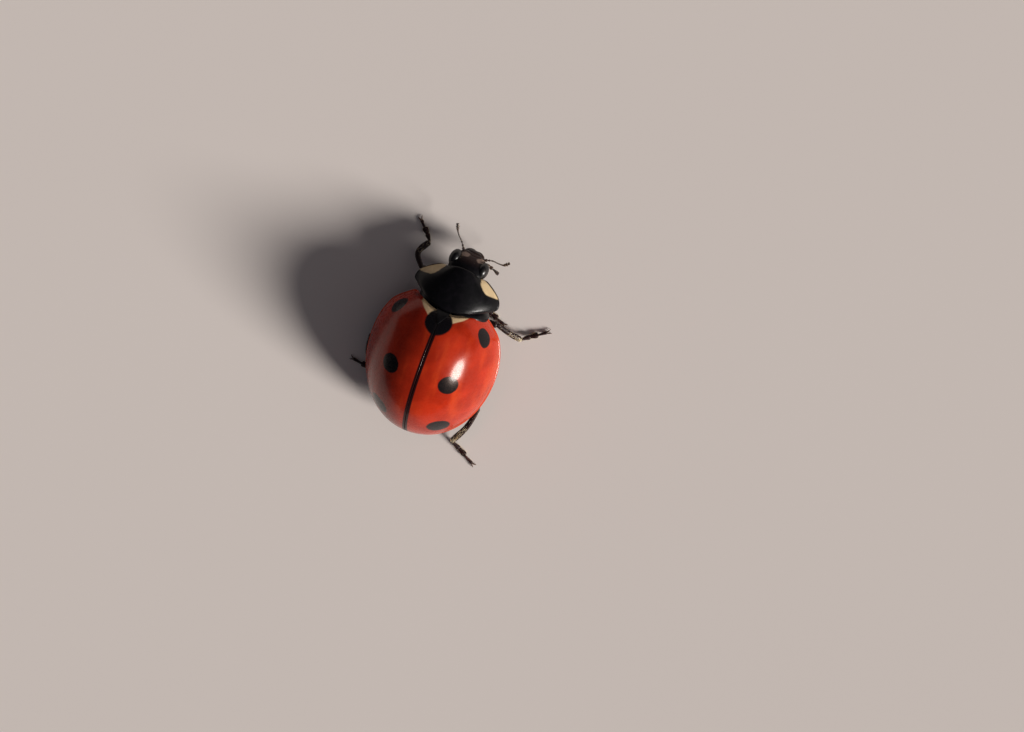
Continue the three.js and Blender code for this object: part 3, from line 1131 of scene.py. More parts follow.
@dataclass(frozen=True)
class FloorFinish:
    """Matt pale floor with a hardly visible mottle."""

    pale: Colour = (0.84, 0.775, 0.74)
    shade: Colour = (0.815, 0.75, 0.715)

    def material(self, stance: Stance) -> bpy.types.Material:
        """Builds the material.

        Args:
            stance: where the animal's frame lies.

        Returns:
            The finished material.
        """
        finish = Finish("floor_pale", stance)
        base = finish.mix(finish.noise(0.05, 4.0), self.pale, self.shade)
        return finish.surface(Base_Color=base, Roughness=0.9, Specular_IOR_Level=0.0)


# ---------------- bristles


@dataclass(frozen=True)
class Tuft:
    """How the bristles on one patch of skin grow.

    Attributes:
        count: number of bristles.
        length: mean length in millimetres.
        thick: half thickness at the root.
        lie: 0 stands straight up, 1 lies along the skin.
        sweep: +1 lies towards the skin's last row and -1 towards its first.
        rows: the part of the skin's rows that carries them.
        columns: the part of the skin's columns that carries them.
        curl: how far the tip bends back to the skin, as a share of the length.
    """

    count: int
    length: float
    thick: float = 0.0055
    lie: float = 0.6
    sweep: float = 1.0
    rows: tuple[float, float] = (0.05, 0.95)
    columns: tuple[float, float] = (0.0, 1.0)
    curl: float = 0.25


@dataclass
class Coat:
    """Bristles on one part of the body, as one joined mesh of thin bent cones.

    Attributes:
        name: the piece's name.
        seed: start of its random numbers.
        cells: cells along one side of the map, one cell for each patch of skin.
        points: the ten points of each bristle, for each patch of skin so far.
        places: where on the map each bristle is rooted, likewise.
        levels: shares of a bristle's length at which it has a ring of three points.
        patch: width of a bristle's place on the map.
        margin: share of a cell that is left free along each of its sides.
        sunk: how far a root lies under the skin.
        lowest: no point lies lower than this.
        unruly: how far bristles stray from their common direction.
    """

    name: str
    seed: int
    cells: int
    points: list[Array] = field(default_factory=list)
    places: list[Array] = field(default_factory=list)
    levels: tuple[float, float, float] = (0.0, 0.35, 0.7)
    patch: float = 0.003
    margin: float = 0.04
    sunk: float = 0.004
    lowest: float = 0.002
    unruly: float = 0.22

    def __post_init__(self) -> None:
        """Starts the random numbers."""
        self.random = np.random.default_rng(self.seed)

    def grow(self, skin: Array, tuft: Tuft, wrap: bool = True) -> None:
        """Plants bristles on a grid of points.

        A bristle's middle line is root + t * reach - t**2 * curl * normal, for t from 0 to 1, and
        its half thickness is thick * (1 - t).

        Args:
            skin: rows x columns x 3 points.
            tuft: how they grow.
            wrap: whether the skin's columns close into rings.
        """
        rows, columns, _ = skin.shape
        normals = grid_normals(skin, wrap)
        middle = skin.mean(axis=1, keepdims=True)
        if wrap and np.einsum("ijk,ijk->", normals, skin - middle) < 0:
            normals = -normals
        elif not wrap and normals[..., 2].sum() < 0:
            normals = -normals
        i = self.random.uniform(*tuft.rows, tuft.count) * (rows - 1)
        j = self.random.uniform(*tuft.columns, tuft.count) * (columns if wrap else columns - 1)
        low_i = np.minimum(i.astype(int), rows - 2)
        low_j = np.minimum(j.astype(int), columns - 1 if wrap else columns - 2)
        next_j = (low_j + 1) % columns
        fi, fj = (i - low_i)[:, None], (j - low_j)[:, None]
        near = lerp(skin[low_i, low_j], skin[low_i, next_j], fj)
        far = lerp(skin[low_i + 1, low_j], skin[low_i + 1, next_j], fj)
        root, along = lerp(near, far, fi), unit(far - near)
        normal = normals[low_i, low_j]
        wobble = self.random.normal(0, self.unruly, (tuft.count, 3))
        reach = unit(normal * (1 - tuft.lie) + along * tuft.lie * tuft.sweep + wobble)
        length = tuft.length * self.random.uniform(0.7, 1.25, (tuft.count, 1))
        across = unit(np.cross(normal, reach))
        other = np.cross(reach, across)
        root = root - normal * self.sunk
        turn = 2 * math.pi * np.arange(3) / 3
        grown = []
        for level in self.levels:
            centre = root + reach * length * level - normal * length * tuft.curl * level**2
            thick = tuft.thick * (1 - level)
            ring = across[:, None] * np.cos(turn)[:, None] + other[:, None] * np.sin(turn)[:, None]
            grown.append(centre[:, None] + thick * ring)
        tip = root + reach * length - normal * length * tuft.curl
        self.points.append(np.concatenate([*grown, tip[:, None]], axis=1))
        cell = len(self.places)
        corner = np.array([cell % self.cells, cell // self.cells])
        share = np.stack([i / (rows - 1), j / columns], axis=-1)
        self.places.append((corner + self.margin + (1 - 2 * self.margin) * share) / self.cells)

    def shape(self) -> Shape:
        """All the bristles as closed cones of ten points.

        Returns:
            The one shape.
        """
        points = np.concatenate(self.points)
        points[..., 2] = np.maximum(points[..., 2], self.lowest)
        first = (np.arange(len(points)) * 10)[:, None]
        quads, fans = [], [first + np.array([[0, 2, 1]])]
        for level in (0, 3):
            for k in range(3):
                a, b = level + k, level + (k + 1) % 3
                quads.append(first + np.array([[a, b, b + 3, a + 3]]))
        for k in range(3):
            fans.append(first + np.array([[6 + k, 6 + (k + 1) % 3, 9]]))
        return Shape(points.reshape(-1, 3), [np.vstack(quads), np.vstack(fans)]).outward()

    def make(self, maker: Maker, material: bpy.types.Material) -> bpy.types.Object:
        """Makes the coat and its map, on which each bristle is a small patch at its root's place.

        Args:
            maker: makes the piece.
            material: its finish.

        Returns:
            The piece.
        """
        made = maker.piece(self.name, self.shape(), material, Slot.HAIR, sharp=180.0)
        mesh = made.data
        count = len(mesh.loops)
        point = np.zeros(count, int)
        mesh.loops.foreach_get("vertex_index", point)
        local = point % 10
        angle = 2 * math.pi * (local % 3) / 3
        reach = np.where(local == 9, 0.0, 0.5 - 0.14 * (local // 3)) * self.patch
        root = np.concatenate(self.places)[point // 10]
        layer = mesh.uv_layers.new(name="OFBake")
        uv = root + np.stack([np.cos(angle) * reach, np.sin(angle) * reach], axis=-1)
        layer.data.foreach_set("uv", uv.ravel())
        return made


# ---------------- wing cases and small shield


@dataclass(frozen=True)
class WingCases:
    """The two domed wing cases, each a thin shell with a rounded front edge and seam, a narrow
    flared rim, and a fold of the rim that runs in under the body.

    Attributes:
        base_y: the front edge before it swells forward.
        wall: thickness of the shell.
        seam_gap: half of the gap between the two.
        inset: how far the dome lies inside the solid, which leaves room for the flare.
        edge_round: radius of the front edge.
        seam_round: radius of the edge along the seam.
        fold_front: width of the fold at the shoulders.
        fold_rear: width of the fold near the tip.
        callus: place in plan, half widths and height of the bump on each shoulder.
        bulge: how far the front edge swells forward, and where: x, half width and length.
        flare: the rim's section past the dome, as points (out, up, 0).
        fold_rise: how much higher than its start the fold's inner edge lies.
        fold_thick: thickness of the fold at its inner edge.
        fold_columns: columns of points of the flare, and as many of the fold.
        narrow: half width under which the flare shrinks with the case.
    """

    dome: Dome
    base_y: float = -2.30
    wall: float = 0.12
    seam_gap: float = 0.007
    inset: float = 0.03
    edge_round: float = 0.06
    seam_round: float = 0.02
    fold_front: float = 0.40
    fold_rear: float = 0.10
    callus: tuple[float, float, float, float, float] = (1.60, -1.70, 0.42, 0.40, 0.045)
    bulge: tuple[float, float, float, float] = (0.14, 1.05, 0.55, 0.9)
    flare: tuple[Point, ...] = ((0, 0, 0), (0.034, -0.026, 0), (0.042, -0.056, 0),
                                (0.02, -0.085, 0), (-0.03, -0.09, 0))
    fold_rise: float = 0.06
    fold_thick: float = 0.045
    fold_columns: int = 8
    narrow: float = 0.4
    rows: int = 170
    columns: int = 110

    def shares(self) -> Array:
        """Rows along the body, dense at the front edge and at the tip.

        Returns:
            Shares of the length.
        """
        step = np.linspace(0, 1, self.rows)
        first = self.dome.share(self.base_y)
        return first + (self.dome.tip_share - first) * np.sin(math.pi / 2 * step**1.6)

    def angles(self) -> Array:
        """Columns from the seam to the rim, dense at both."""
        step = np.linspace(0, 1, self.columns)
        return math.pi / 2 * (step - 0.8 * np.sin(2 * math.pi * step) / (2 * math.pi))

    def fold(self, share: Array) -> Array:
        """Width of the fold under the rim, never over half of the case's own width."""
        width = lerp(self.fold_front, self.fold_rear, smoothstep(share, -0.6, 0.8))
        return np.minimum(width, 0.5 * self.dome.section(share, self.inset)[1])

    def swollen(self, points: Array) -> Array:
        """The points with the front edge swollen forward by a bell curve across, fading back.

        Args:
            points: points of a case.

        Returns:
            The moved points.
        """
        far, middle, wide, length = self.bulge
        near = 1 - smoothstep(points[..., 1] - self.base_y, 0, length)
        moved = points.copy()
        moved[..., 1] -= far * near * np.exp(-(((points[..., 0] - middle) / wide) ** 2))
        return moved

    def outer(self) -> Array:
        """The outer surface of the left case, from the seam over the rim to the fold's inner edge.

        The dome is moved along its normals: out by the shoulder's bump, a bell curve, and in by
        the quarter circles of its front edge and its seam. Past the rim come the flare and the
        fold, drawn in the plane of the rim's outward direction.

        Returns:
            Rows x columns x 3 points.
        """
        share = self.shares()
        dome = self.dome.points(share[:, None], self.angles()[None, :], self.inset, self.seam_gap)
        normal = grid_normals(dome)
        normal *= np.sign(normal[self.rows // 2, self.columns // 2, 2])
        x, y = dome[..., 0], dome[..., 1]
        cx, cy, wx, wy, high = self.callus
        bump = high * np.exp(-(((x - cx) / wx) ** 2) - ((y - cy) / wy) ** 2)
        drop = quarter_round(y - self.base_y, self.edge_round)
        drop = drop + quarter_round(x - self.seam_gap, self.seam_round)
        dome = dome + normal * (bump - drop)[..., None]
        rim = dome[:, -1]
        tangent = unit(np.gradient(rim[:, :2], axis=0))
        outwards = np.stack([tangent[:, 1], -tangent[:, 0], np.zeros(self.rows)], axis=-1)
        size = np.minimum(1.0, self.dome.section(share, self.inset)[1] / self.narrow)[:, None]
        step = np.linspace(0, 1, self.fold_columns + 1)[1:]
        flare = path_at(self.flare, step)
        end_out, end_up, _ = self.flare[-1]
        width = self.fold(share)[:, None]
        out = np.hstack([flare[:, 0] * size, end_out * size - (width + end_out * size) * step])
        up = np.hstack([flare[:, 1] * size, (end_up + self.fold_rise * step**1.5) * size])
        skirt = rim[:, None] + outwards[:, None] * out[..., None]
        skirt[..., 2] += up
        return self.swollen(np.concatenate([dome, skirt], axis=1))

    def inner(self, outer: Array) -> Array:
        """The inner surface: the dome's own section moved in by the wall, then the top of the fold.

        Args:
            outer: the outer surface, whose last columns are the flare and the fold.

        Returns:
            As many points as the outer surface has.
        """
        share = self.shares()
        depth = self.inset + self.wall
        dome = self.dome.points(share[:, None], self.angles()[None, :], depth, self.seam_gap)
        dome[:, 0, 0] = self.seam_gap + self.dome.least_half
        dome = self.swollen(dome)
        extra = outer.shape[1] - self.columns
        step = np.linspace(0, 1, extra + 1)[1:, None]
        top = lerp(dome[:, None, -1], outer[:, None, -1] + np.array([0, 0, self.fold_thick]), step)
        return np.concatenate([dome, top], axis=1)

    def make(self, maker: Maker, finish: WingCaseFinish) -> None:
        """Makes both cases; the right one is the left one mirrored, with its faces turned back.

        Args:
            maker: makes the pieces.
            finish: their finish.
        """
        material = finish.material(maker.stance, self.dome)
        outer = self.outer()
        inner = self.inner(outer)
        for name, side in SIDES.items():
            mirror = np.array([side, 1.0, 1.0])
            shape = slab(outer * mirror, inner * mirror)
            maker.piece(f"wing_case_{name}", shape, material, Slot.CASE, [f"elytron_{name}"])


@dataclass(frozen=True)
class SmallShield:
    """The triangular plate between the front ends of the wing cases."""

    dome: Dome
    half_width: float = 0.27
    front_y: float = -2.42
    tip_y: float = -1.98
    proud: float = 0.016
    thickness: float = 0.2
    edge_round: float = 0.03
    blunt: float = 0.012

    def make(self, maker: Maker, material: bpy.types.Material) -> None:
        """Makes the plate: its half width falls as 1 - t ** 1.25 from the front to its tip.

        Args:
            maker: makes the piece.
            material: its finish.
        """
        t = ends_dense(26)[:, None]
        s = np.sin(math.pi / 2 * np.linspace(-1, 1, 27))[None, :]
        half = self.half_width * (1 - t**1.25) + self.blunt
        y = lerp(self.front_y, self.tip_y, t) + 0 * s
        x = half * s
        drop = quarter_round((1 - np.abs(s)) * half, self.edge_round)
        crown = self.dome.top_z(0 * y, y) + self.proud * (1 - s**2) - drop
        upper = np.stack([x, y, crown], axis=-1)
        lower = np.stack([x * 0.85, y, crown + drop - self.thickness], axis=-1)
        maker.piece("small_shield", slab(upper, lower), material, Slot.SHELL, ["scutellum"])


# ---------------- neck shield and fore body


@dataclass(frozen=True)
class NeckShield:
    """The domed shield over the neck, with a thin lip over the head and another over the wing
    cases, rounded side rims and a level underside.

    Attributes:
        widening: power of the curve from the corners' half width to the full one.
        eye_notch: how far the front edge draws back over each eye.
        base_bow: power of the rear edge's curve.
        edge: thickness at the side edges.
        lip: thickness of the front and rear lips.
        bead: how far the rounded side rims stand out.
        levelling: how far along a sine's first quarter turn the climb from the front goes.
        yaw: how far it is turned about the middle of its rear edge.
    """

    half_width: float = 1.62
    corner_half_width: float = 0.84
    widening: float = 0.82
    shift_x: float = -0.08
    front_y: float = -3.99
    corner_y: float = -3.73
    eye_notch: float = 0.06
    base_y: float = -2.40
    base_corner_y: float = -2.76
    base_bow: float = 1.3
    front_z: float = 1.83
    base_z: float = 2.44
    edge_front_z: float = 1.27
    edge_base_z: float = 1.38
    edge: float = 0.14
    lip: float = 0.07
    bead: float = 0.045
    levelling: float = math.radians(67)
    yaw: float = math.radians(-0.8)
    rows: int = 110
    across: int = 110

    def place(self, back: Array, side: Array) -> tuple[Array, Array, Array]:
        """x, y and top height at a share from front to back and from -1 to 1 across.

        The half width widens as the sine of a quarter turn to a power, the front and rear edges
        bow with powers of |side|, the front edge draws back over each eye as a bell curve, and
        the top falls to the edge as (1 - |side| ** 2.1) ** 0.8. From front to back it climbs as a
        sine that hasn't quite levelled off at the rear edge.

        Args:
            back: shares from front to back.
            side: shares from the right edge to the left.

        Returns:
            The three, each as an array.
        """
        widening = np.sin(math.pi / 2 * np.minimum(1, back / 0.8)) ** self.widening
        half = lerp(self.corner_half_width, self.half_width, widening)
        climb = (np.sin(self.levelling * back) / math.sin(self.levelling)) ** 0.9
        middle = lerp(self.front_z, self.base_z, climb)
        edge = lerp(self.edge_front_z, self.edge_base_z, back)
        reach = np.abs(side)
        front = lerp(self.front_y, self.corner_y, reach**2)
        front = front + self.eye_notch * np.exp(-(((reach - 0.72) / 0.2) ** 2))
        rear = lerp(self.base_y, self.base_corner_y, reach**self.base_bow)
        half = half - 0.09 * smoothstep(back, 0.82, 1.0) ** 2
        top = edge + (middle - edge) * np.clip(1 - reach**2.1, 0, 1) ** 0.8
        rim = 0.016 * np.exp(-(((1 - reach) * half / 0.05) ** 2))
        return self.shift_x + side * half, lerp(front, rear, back), top + rim

    def rings(self) -> Array:
        """Closed rings from front to back: over the top, round one rim, along the underside and
        round the other rim. Near the front and rear edges a ring closes on its own middle line
        as a quarter circle does.

        Returns:
            The rings, as rows x columns x 3.
        """
        back = ends_dense(self.rows)[:, None]
        over = np.sin(math.pi / 2 * np.linspace(-1, 1, self.across))
        turn = np.linspace(0, math.pi, 9)[1:-1]
        ones = np.ones(len(turn))
        side = np.concatenate([over, ones, over[::-1], -ones])[None, :]
        level = np.concatenate([over * 0 + 1, np.cos(turn), over * 0 - 1, -np.cos(turn)])[None, :]
        out = np.concatenate([over * 0, np.sin(turn), over * 0, -np.sin(turn)])[None, :]
        x, y, top = self.place(back, side)
        lowest = lerp(self.edge_front_z, self.edge_base_z, back) - self.edge
        inside = smoothstep(back, 0.22, 0.50) * (1 - smoothstep(back, 0.84, 0.99))
        bottom = lerp(top - self.lip, np.minimum(lowest, top - self.lip), inside)
        near = np.minimum(back, 1 - back) * abs(self.base_y - self.front_y)
        closing = np.sqrt(1 - (1 - np.clip(near / 0.05, 0.02, 1)) ** 2)
        middle, half = (top + bottom) / 2, (top - bottom) / 2
        z = middle + level * half * closing
        return np.stack([x + out * self.bead * closing, y, z], axis=-1)

    def make(self, maker: Maker, material: bpy.types.Material) -> None:
        """Makes the shield, turned a little about the middle of its rear edge.

        Args:
            maker: makes the piece.
            material: its finish.
        """
        pivot = np.array([self.shift_x, self.base_y, 0.0])
        turned = loft(self.rings() - pivot).placed(turn_z(self.yaw), pivot)
        maker.piece("neck_shield", turned, material, Slot.SHELL, ["pronotum"])


@dataclass(frozen=True)
class ForeBody:
    """The body under the neck shield, with a keel between the front legs, and the dark collar
    that shows between the neck shield and the wing cases.

    Attributes:
        waist_z: height at which it is widest.
        knots: shares of its length at which the sections are given.
        sections: half width, top and bottom at each knot.
    """

    front_y: float = -3.44
    rear_y: float = -2.16
    waist_z: float = 1.16
    knots: tuple[float, ...] = (0.0, 0.25, 0.5, 0.62, 0.8, 1.0)
    sections: tuple[Point, ...] = (
        (0.62, 1.30, 0.78), (0.92, 1.50, 0.60), (1.12, 1.70, 0.58),
        (1.26, 1.95, 0.60), (1.36, 2.20, 0.64), (1.36, 2.16, 0.70),
    )
    square: float = 0.85
    keel: float = 0.05
    rows: int = 60
    columns: int = 80

    def rings(self) -> Array:
        """Rings whose half width, top and bottom are smooth curves of the place along the body.

        Returns:
            The rings, as rows x columns x 3.
        """
        t = np.linspace(0, 1, self.rows)
        half, top, bottom = hermite(np.array(self.knots), np.array(self.sections), t).T
        angle = 2 * math.pi * np.arange(self.columns) / self.columns
        c, s = np.cos(angle)[None, :], np.sin(angle)[None, :]
        x = half[:, None] * signed_power(c, self.square)
        rise = np.where(s > 0, top[:, None] - self.waist_z, self.waist_z - bottom[:, None])
        z = self.waist_z + rise * signed_power(s, self.square)
        keel = self.keel * np.exp(-((x / 0.11) ** 2)) * (s < 0) * smoothstep(t, 0.1, 0.3)[:, None]
        y = lerp(self.front_y, self.rear_y, t)[:, None] + 0 * x
        aside = 0.02 + 0.13 * smoothstep(t, 0.5, 0.8)[:, None]
        return np.stack([x - aside, y, z - keel], axis=-1)

    def make(self, maker: Maker, material: bpy.types.Material, coat: Coat) -> None:
        """Makes the piece and plants its underside with fine bristles.

        Args:
            maker: makes the piece.
            material: its finish.
            coat: the underside's bristles.
        """
        rings = self.rings()
        maker.piece("fore_body", loft(rings), material, Slot.SHELL, ["neck_body"])
        coat.grow(rings, Tuft(220, 0.09, 0.0035, 0.7, columns=(0.55, 0.95), rows=(0.1, 0.8)))


# ---------------- chest and belly


@dataclass(frozen=True)
class Trunk:
    """The underside of the trunk: the chest plates and the overlapping plates of the belly. Its
    hidden roof follows the inside of the wing cases.

    Attributes:
        split_y: where the chest ends and the belly starts.
        gap: half of the gap between the two.
        end_share: share of the dome's rear curve at which the belly ends.
        drop: how far the chest hangs below the rim.
        taper: share of the drop that is lost towards the tip.
        roof_inset: how far the roof lies inside the dome.
    """

    dome: Dome
    cases: WingCases
    front_y: float = -2.3
    split_y: float = 0.28
    gap: float = 0.012
    end_share: float = 0.915
    drop: float = 0.42
    taper: float = 0.55
    plates: int = 6
    plate_step: float = 0.035
    groove_width: float = 0.022
    groove_depth: float = 0.022
    roof_inset: float = 0.19
    roof_columns: int = 36
    under_columns: int = 130

    def groove(self, away: Array) -> Array:
        """A groove with the profile of a bell curve, from the distance to its line."""
        return self.groove_depth * np.exp(-((away / self.groove_width) ** 2))

    def chest_relief(self, x: Array, y: Array) -> Array:
        """How far the chest's surface lies above its plain curve: seams between its plates.

        Args:
            x: places across.
            y: places along.

        Returns:
            The heights.
        """
        seam = self.groove(x) * smoothstep(y, -1.25, -1.1)
        seam += self.groove(y + 1.32 + 0.12 * np.cos(3.2 * x)) * smoothstep(-np.abs(x), -1.3, -1.2)
        seam += self.groove(np.abs(x) - 1.18 - 0.22 * (y + 1.5)) * smoothstep(y, -1.9, -1.7)
        seam += self.groove(np.abs(x) + 0.9 * (y + 1.9) - 1.3) * smoothstep(np.abs(x), 0.95, 1.05)
        return seam

    def belly_relief(self, x: Array, y: Array) -> Array:
        """Steps between the belly's plates: each plate sinks towards its hind edge, which lies
        under the next one's front edge.

        Args:
            x: places across.
            y: places along.

        Returns:
            The heights.
        """
        length = (self.dome.tip_y * 0.93 - self.split_y) / self.plates
        share = np.mod((y - self.split_y + 0.05 * np.abs(x)) / length, 1.0)
        return self.plate_step * (1 - share**1.5 * (1 - smoothstep(share, 0.93, 1.0)))

    def rings(self, low: float, high: float, is_chest: bool, rows: int) -> Array:
        """Rings between two places along the body.

        Args:
            low: y of the front end.
            high: y of the rear end.
            is_chest: chest plates, or the belly's.
            rows: number of rings.

        Returns:
            The rings: over the roof from the right rim to the left, and back along the belly.
        """
        y = lerp(low, high, np.linspace(0, 1, rows))
        share = self.dome.share(y)
        shorter = 1 - self.roof_inset / self.dome.rear_reach
        over = np.linspace(-math.pi / 2, math.pi / 2, self.roof_columns)
        roof_share = np.where(share > 0, share / shorter, share)
        roof = self.dome.points(roof_share[:, None], np.abs(over)[None, :], self.roof_inset)
        roof[..., 0] *= np.sign(over)
        under = np.linspace(math.pi / 2, -math.pi / 2, self.under_columns)[None, :]
        _, half, _, rim, _ = self.dome.section(share, self.cases.inset)
        half = (half - self.cases.fold(share) - 0.03)[:, None]
        behind = np.clip((share - self.dome.share(self.split_y)) / 0.9, 0, 1)
        drop = (self.drop * (1 - self.taper * behind**1.6))[:, None]
        x = half * np.sin(under)
        z = rim[:, None] - drop * np.cos(under) ** 0.7
        rows_y = y[:, None] + 0 * x
        relief = self.chest_relief if is_chest else self.belly_relief
        fade = np.cos(under) ** 0.3
        belly = np.stack([x, rows_y, z + relief(x, rows_y) * fade], axis=-1)
        return np.concatenate([roof, belly], axis=1)

    def make(self, maker: Maker, material: bpy.types.Material, coat: Coat) -> None:
        """Makes the chest and the belly and plants them with fine bristles.

        Args:
            maker: makes the pieces.
            material: their finish.
            coat: the underside's bristles.
        """
        end_y = self.dome.widest_y + self.end_share * self.dome.rear_reach
        chest = self.rings(self.front_y, self.split_y - self.gap, True, 150)
        belly = self.rings(self.split_y + self.gap, end_y, False, 220)
        maker.piece("chest", loft(chest), material, Slot.SHELL, ["breastplate"])
        maker.piece("belly", loft(belly), material, Slot.SHELL, ["abdomen"])
        columns = self.roof_columns + self.under_columns
        under = ((self.roof_columns + 2) / columns, (columns - 2) / columns)
        coat.grow(chest, Tuft(900, 0.085, 0.0035, 0.75, columns=under, rows=(0.06, 0.97)))
        coat.grow(belly, Tuft(1500, 0.075, 0.0035, 0.8, columns=under, rows=(0.03, 0.96)))


# ---------------- head


@dataclass(frozen=True)
class Head:
    """The head capsule with its mouth parts, eyes, feelers and palps.

    The capsule is drawn in a frame of its own, X left, Y back and Z up, then turned and moved.

    Attributes:
        tilt: how far the head looks down.
        swing: how far it is turned to its left.
        size: its size against the tables'.
        knots: shares of the capsule's length at which its sections are given.
        sections: half width, top and bottom at each knot.
        reach: y of the capsule's front and back.
        lens_sink: how far the borders between lenses lie under their middles.
        feelers: paths of the left and the right feeler, in the animal's frame.
        palps: paths of the left and the right palp, in the animal's frame.
    """

    centre: Point = (-0.15, -3.97, 1.18)
    tilt: float = math.radians(24)
    swing: float = math.radians(-7)
    size: float = 1.05
    knots: tuple[float, ...] = (0.0, 0.12, 0.26, 0.42, 0.56, 0.78, 1.0)
    sections: tuple[Point, ...] = (
        (0.42, 0.02, -0.13), (0.50, 0.14, -0.24), (0.58, 0.26, -0.34), (0.64, 0.35, -0.40),
        (0.66, 0.40, -0.43), (0.63, 0.42, -0.42), (0.50, 0.35, -0.34),
    )
    reach: tuple[float, float] = (-0.50, 0.56)
    square: float = 0.8
    jaw: tuple[Point, ...] = ((0.29, -0.31, -0.17), (0.30, -0.48, -0.20), (0.18, -0.59, -0.23),
                              (0.02, -0.63, -0.25))
    lip_palp: tuple[Point, ...] = ((0.10, -0.46, -0.38), (0.16, -0.57, -0.42),
                                   (0.17, -0.66, -0.43))
    eye_half: Point = (0.21, 0.32, 0.30)
    eye_offset: Point = (0.535, -0.05, 0.05)
    lens_sink: float = 0.0035
    feelers: tuple[tuple[Point, ...], ...] = (
        ((0.186, -4.37, 1.00), (0.384, -4.665, 0.95), (0.619, -4.909, 0.90), (0.73, -5.126, 0.86),
         (0.785, -5.25, 0.82)),
        ((-0.58, -4.33, 1.00), (-0.93, -4.418, 0.95), (-1.172, -4.388, 0.90), (-1.359, -4.40, 0.86),
         (-1.54, -4.54, 0.82)),
    )
    feeler_lengths: tuple[float, ...] = (0.17, 0.10, 0.13, 0.09, 0.09, 0.075, 0.07, 0.06, 0.085,
                                         0.075, 0.09)
    feeler_widths: tuple[float, ...] = (0.054, 0.040, 0.028, 0.025, 0.025, 0.026, 0.029, 0.036,
                                        0.058, 0.070, 0.058)
    palps: tuple[tuple[Point, ...], ...] = (
        ((0.22, -4.18, 0.70), (0.35, -4.15, 0.56), (0.45, -4.06, 0.42)),
        ((-0.50, -4.16, 0.76), (-0.90, -4.08, 0.65), (-1.25, -3.92, 0.55)),
    )

    @property
    def turn(self) -> Array:
        """The matrix from the capsule's frame to the animal's, with its size."""
        return turn_z(self.swing) @ turn_x(self.tilt) * self.size

    def placed(self, shape: Shape) -> Shape:
        """A shape of the capsule's frame in the animal's frame."""
        return shape.placed(self.turn, self.centre)

    def capsule(self) -> Array:
        """Rings from the front edge to the back: half width, top and bottom are smooth curves,
        and each ring is a superellipse with a notch on each side where a feeler is rooted.

        Returns:
            The rings, as rows x columns x 3.
        """
        rows, columns, blunt = 90, 120, 0.05
        t = np.linspace(0, 1, rows)
        half, top, bottom = hermite(np.array(self.knots), np.array(self.sections), t).T
        near = np.clip(np.minimum(t, 1 - t) / blunt, 0, 1)
        closing = np.sqrt(np.clip(1 - (1 - near) ** 2, 0.04, 1))
        angle = 2 * math.pi * np.arange(columns) / columns
        c, s = np.cos(angle)[None, :], np.sin(angle)[None, :]
        middle, tall = ((top + bottom) / 2)[:, None], ((top - bottom) / 2 * closing)[:, None]
        x = (half * lerp(0.6, 1.0, closing))[:, None] * signed_power(c, self.square)
        z = middle + tall * signed_power(s, self.square)
        y = lerp(*self.reach, t)[:, None] + 0 * x
        notch = np.exp(-(((y + 0.33) / 0.08) ** 2) - ((z - 0.06) / 0.12) ** 2)
        ledge = 0.014 * np.exp(-(((y + 0.36 + 0.25 * (x / 0.5) ** 2) / 0.02) ** 2)) * (s > 0)
        return np.stack([x * (1 - 0.14 * notch), y, z - ledge], axis=-1)

    def mouth(self) -> Shape:
        """Upper lip, a pair of hooked jaws and the lower lip with two small palps.

        Returns:
            The shape of them all.
        """
        lip = ball((0.26, 0.14, 0.075), 20, 40, 2.6)
        lip[..., 2] -= 0.05 * (lip[..., 1] / 0.14) ** 2 * (lip[..., 1] < 0)
        parts = [loft(lip + np.array([0, -0.49, -0.085]))]
        lower = ball((0.22, 0.20, 0.10), 18, 32, 2.4)
        parts.append(loft(lower + np.array([0, -0.37, -0.33])))
        jaw_stops = [(0, 0.10), (0.4, 0.085), (0.8, 0.05), (1, 0.02)]
        palp_stops = [(0, 0.03), (0.3, 0.035), (0.5, 0.025), (0.8, 0.04), (1, 0.03)]
        for side in SIDES.values():
            mirror = np.array([side, 1, 1])
            parts.append(loft(segment(np.array(self.jaw) * mirror, jaw_stops, 0.7, 16, 26)))
            parts.append(loft(segment(np.array(self.lip_palp) * mirror, palp_stops, 0.9, 12, 18)))
        return self.placed(Shape.joined(parts))

    def eye(self, side: float) -> Shape:
        """A compound eye: an egg of small lenses, each raised over the border with its neighbours.

        Its grid is that of the lens middles with every edge halved, so that each new point lies
        between two lenses. Those points are sunk.

        Args:
            side: +1 for the left eye and -1 for the right.

        Returns:
            Its shape.
        """
        mesh = bmesh.new()
        bmesh.ops.create_icosphere(mesh, subdivisions=5, radius=1.0)
        lenses = len(mesh.verts)
        bmesh.ops.subdivide_edges(mesh, edges=mesh.edges[:], cuts=1, use_grid_fill=True)
        points = unit(np.array([v.co[:] for v in mesh.verts]))
        faces = np.array([[v.index for v in f.verts] for f in mesh.faces])
        mesh.free()
        sunk = np.where(np.arange(len(points)) < lenses, 0.0, self.lens_sink)
        points = points * np.asarray(self.eye_half) - points * sunk[:, None]
        points = points + np.asarray(self.eye_offset) * np.array([side, 1, 1])
        return self.placed(Shape(points, [faces]).outward())

    def feeler(self, path: Sequence[Point]) -> tuple[Shape, list[Array]]:
        """Eleven segments along a path, of which the last three make a club.

        Args:
            path: from the head to the tip.

        Returns:
            The shape, and the rings of each segment for its bristles.
        """
        lengths = np.array(self.feeler_lengths)
        ends = np.concatenate([[0], np.cumsum(lengths)]) / lengths.sum()
        rings = []
        for number, width in enumerate(self.feeler_widths):
            part = (max(0.0, ends[number] - 0.012), ends[number + 1])
            stops = [(0, 0.45 * width), (0.45, 0.85 * width), (0.85, width), (1, 0.75 * width)]
            rings.append(segment(path, stops, 0.9, 18, 16, part, 0.12))
        return Shape.joined(loft(r) for r in rings), rings

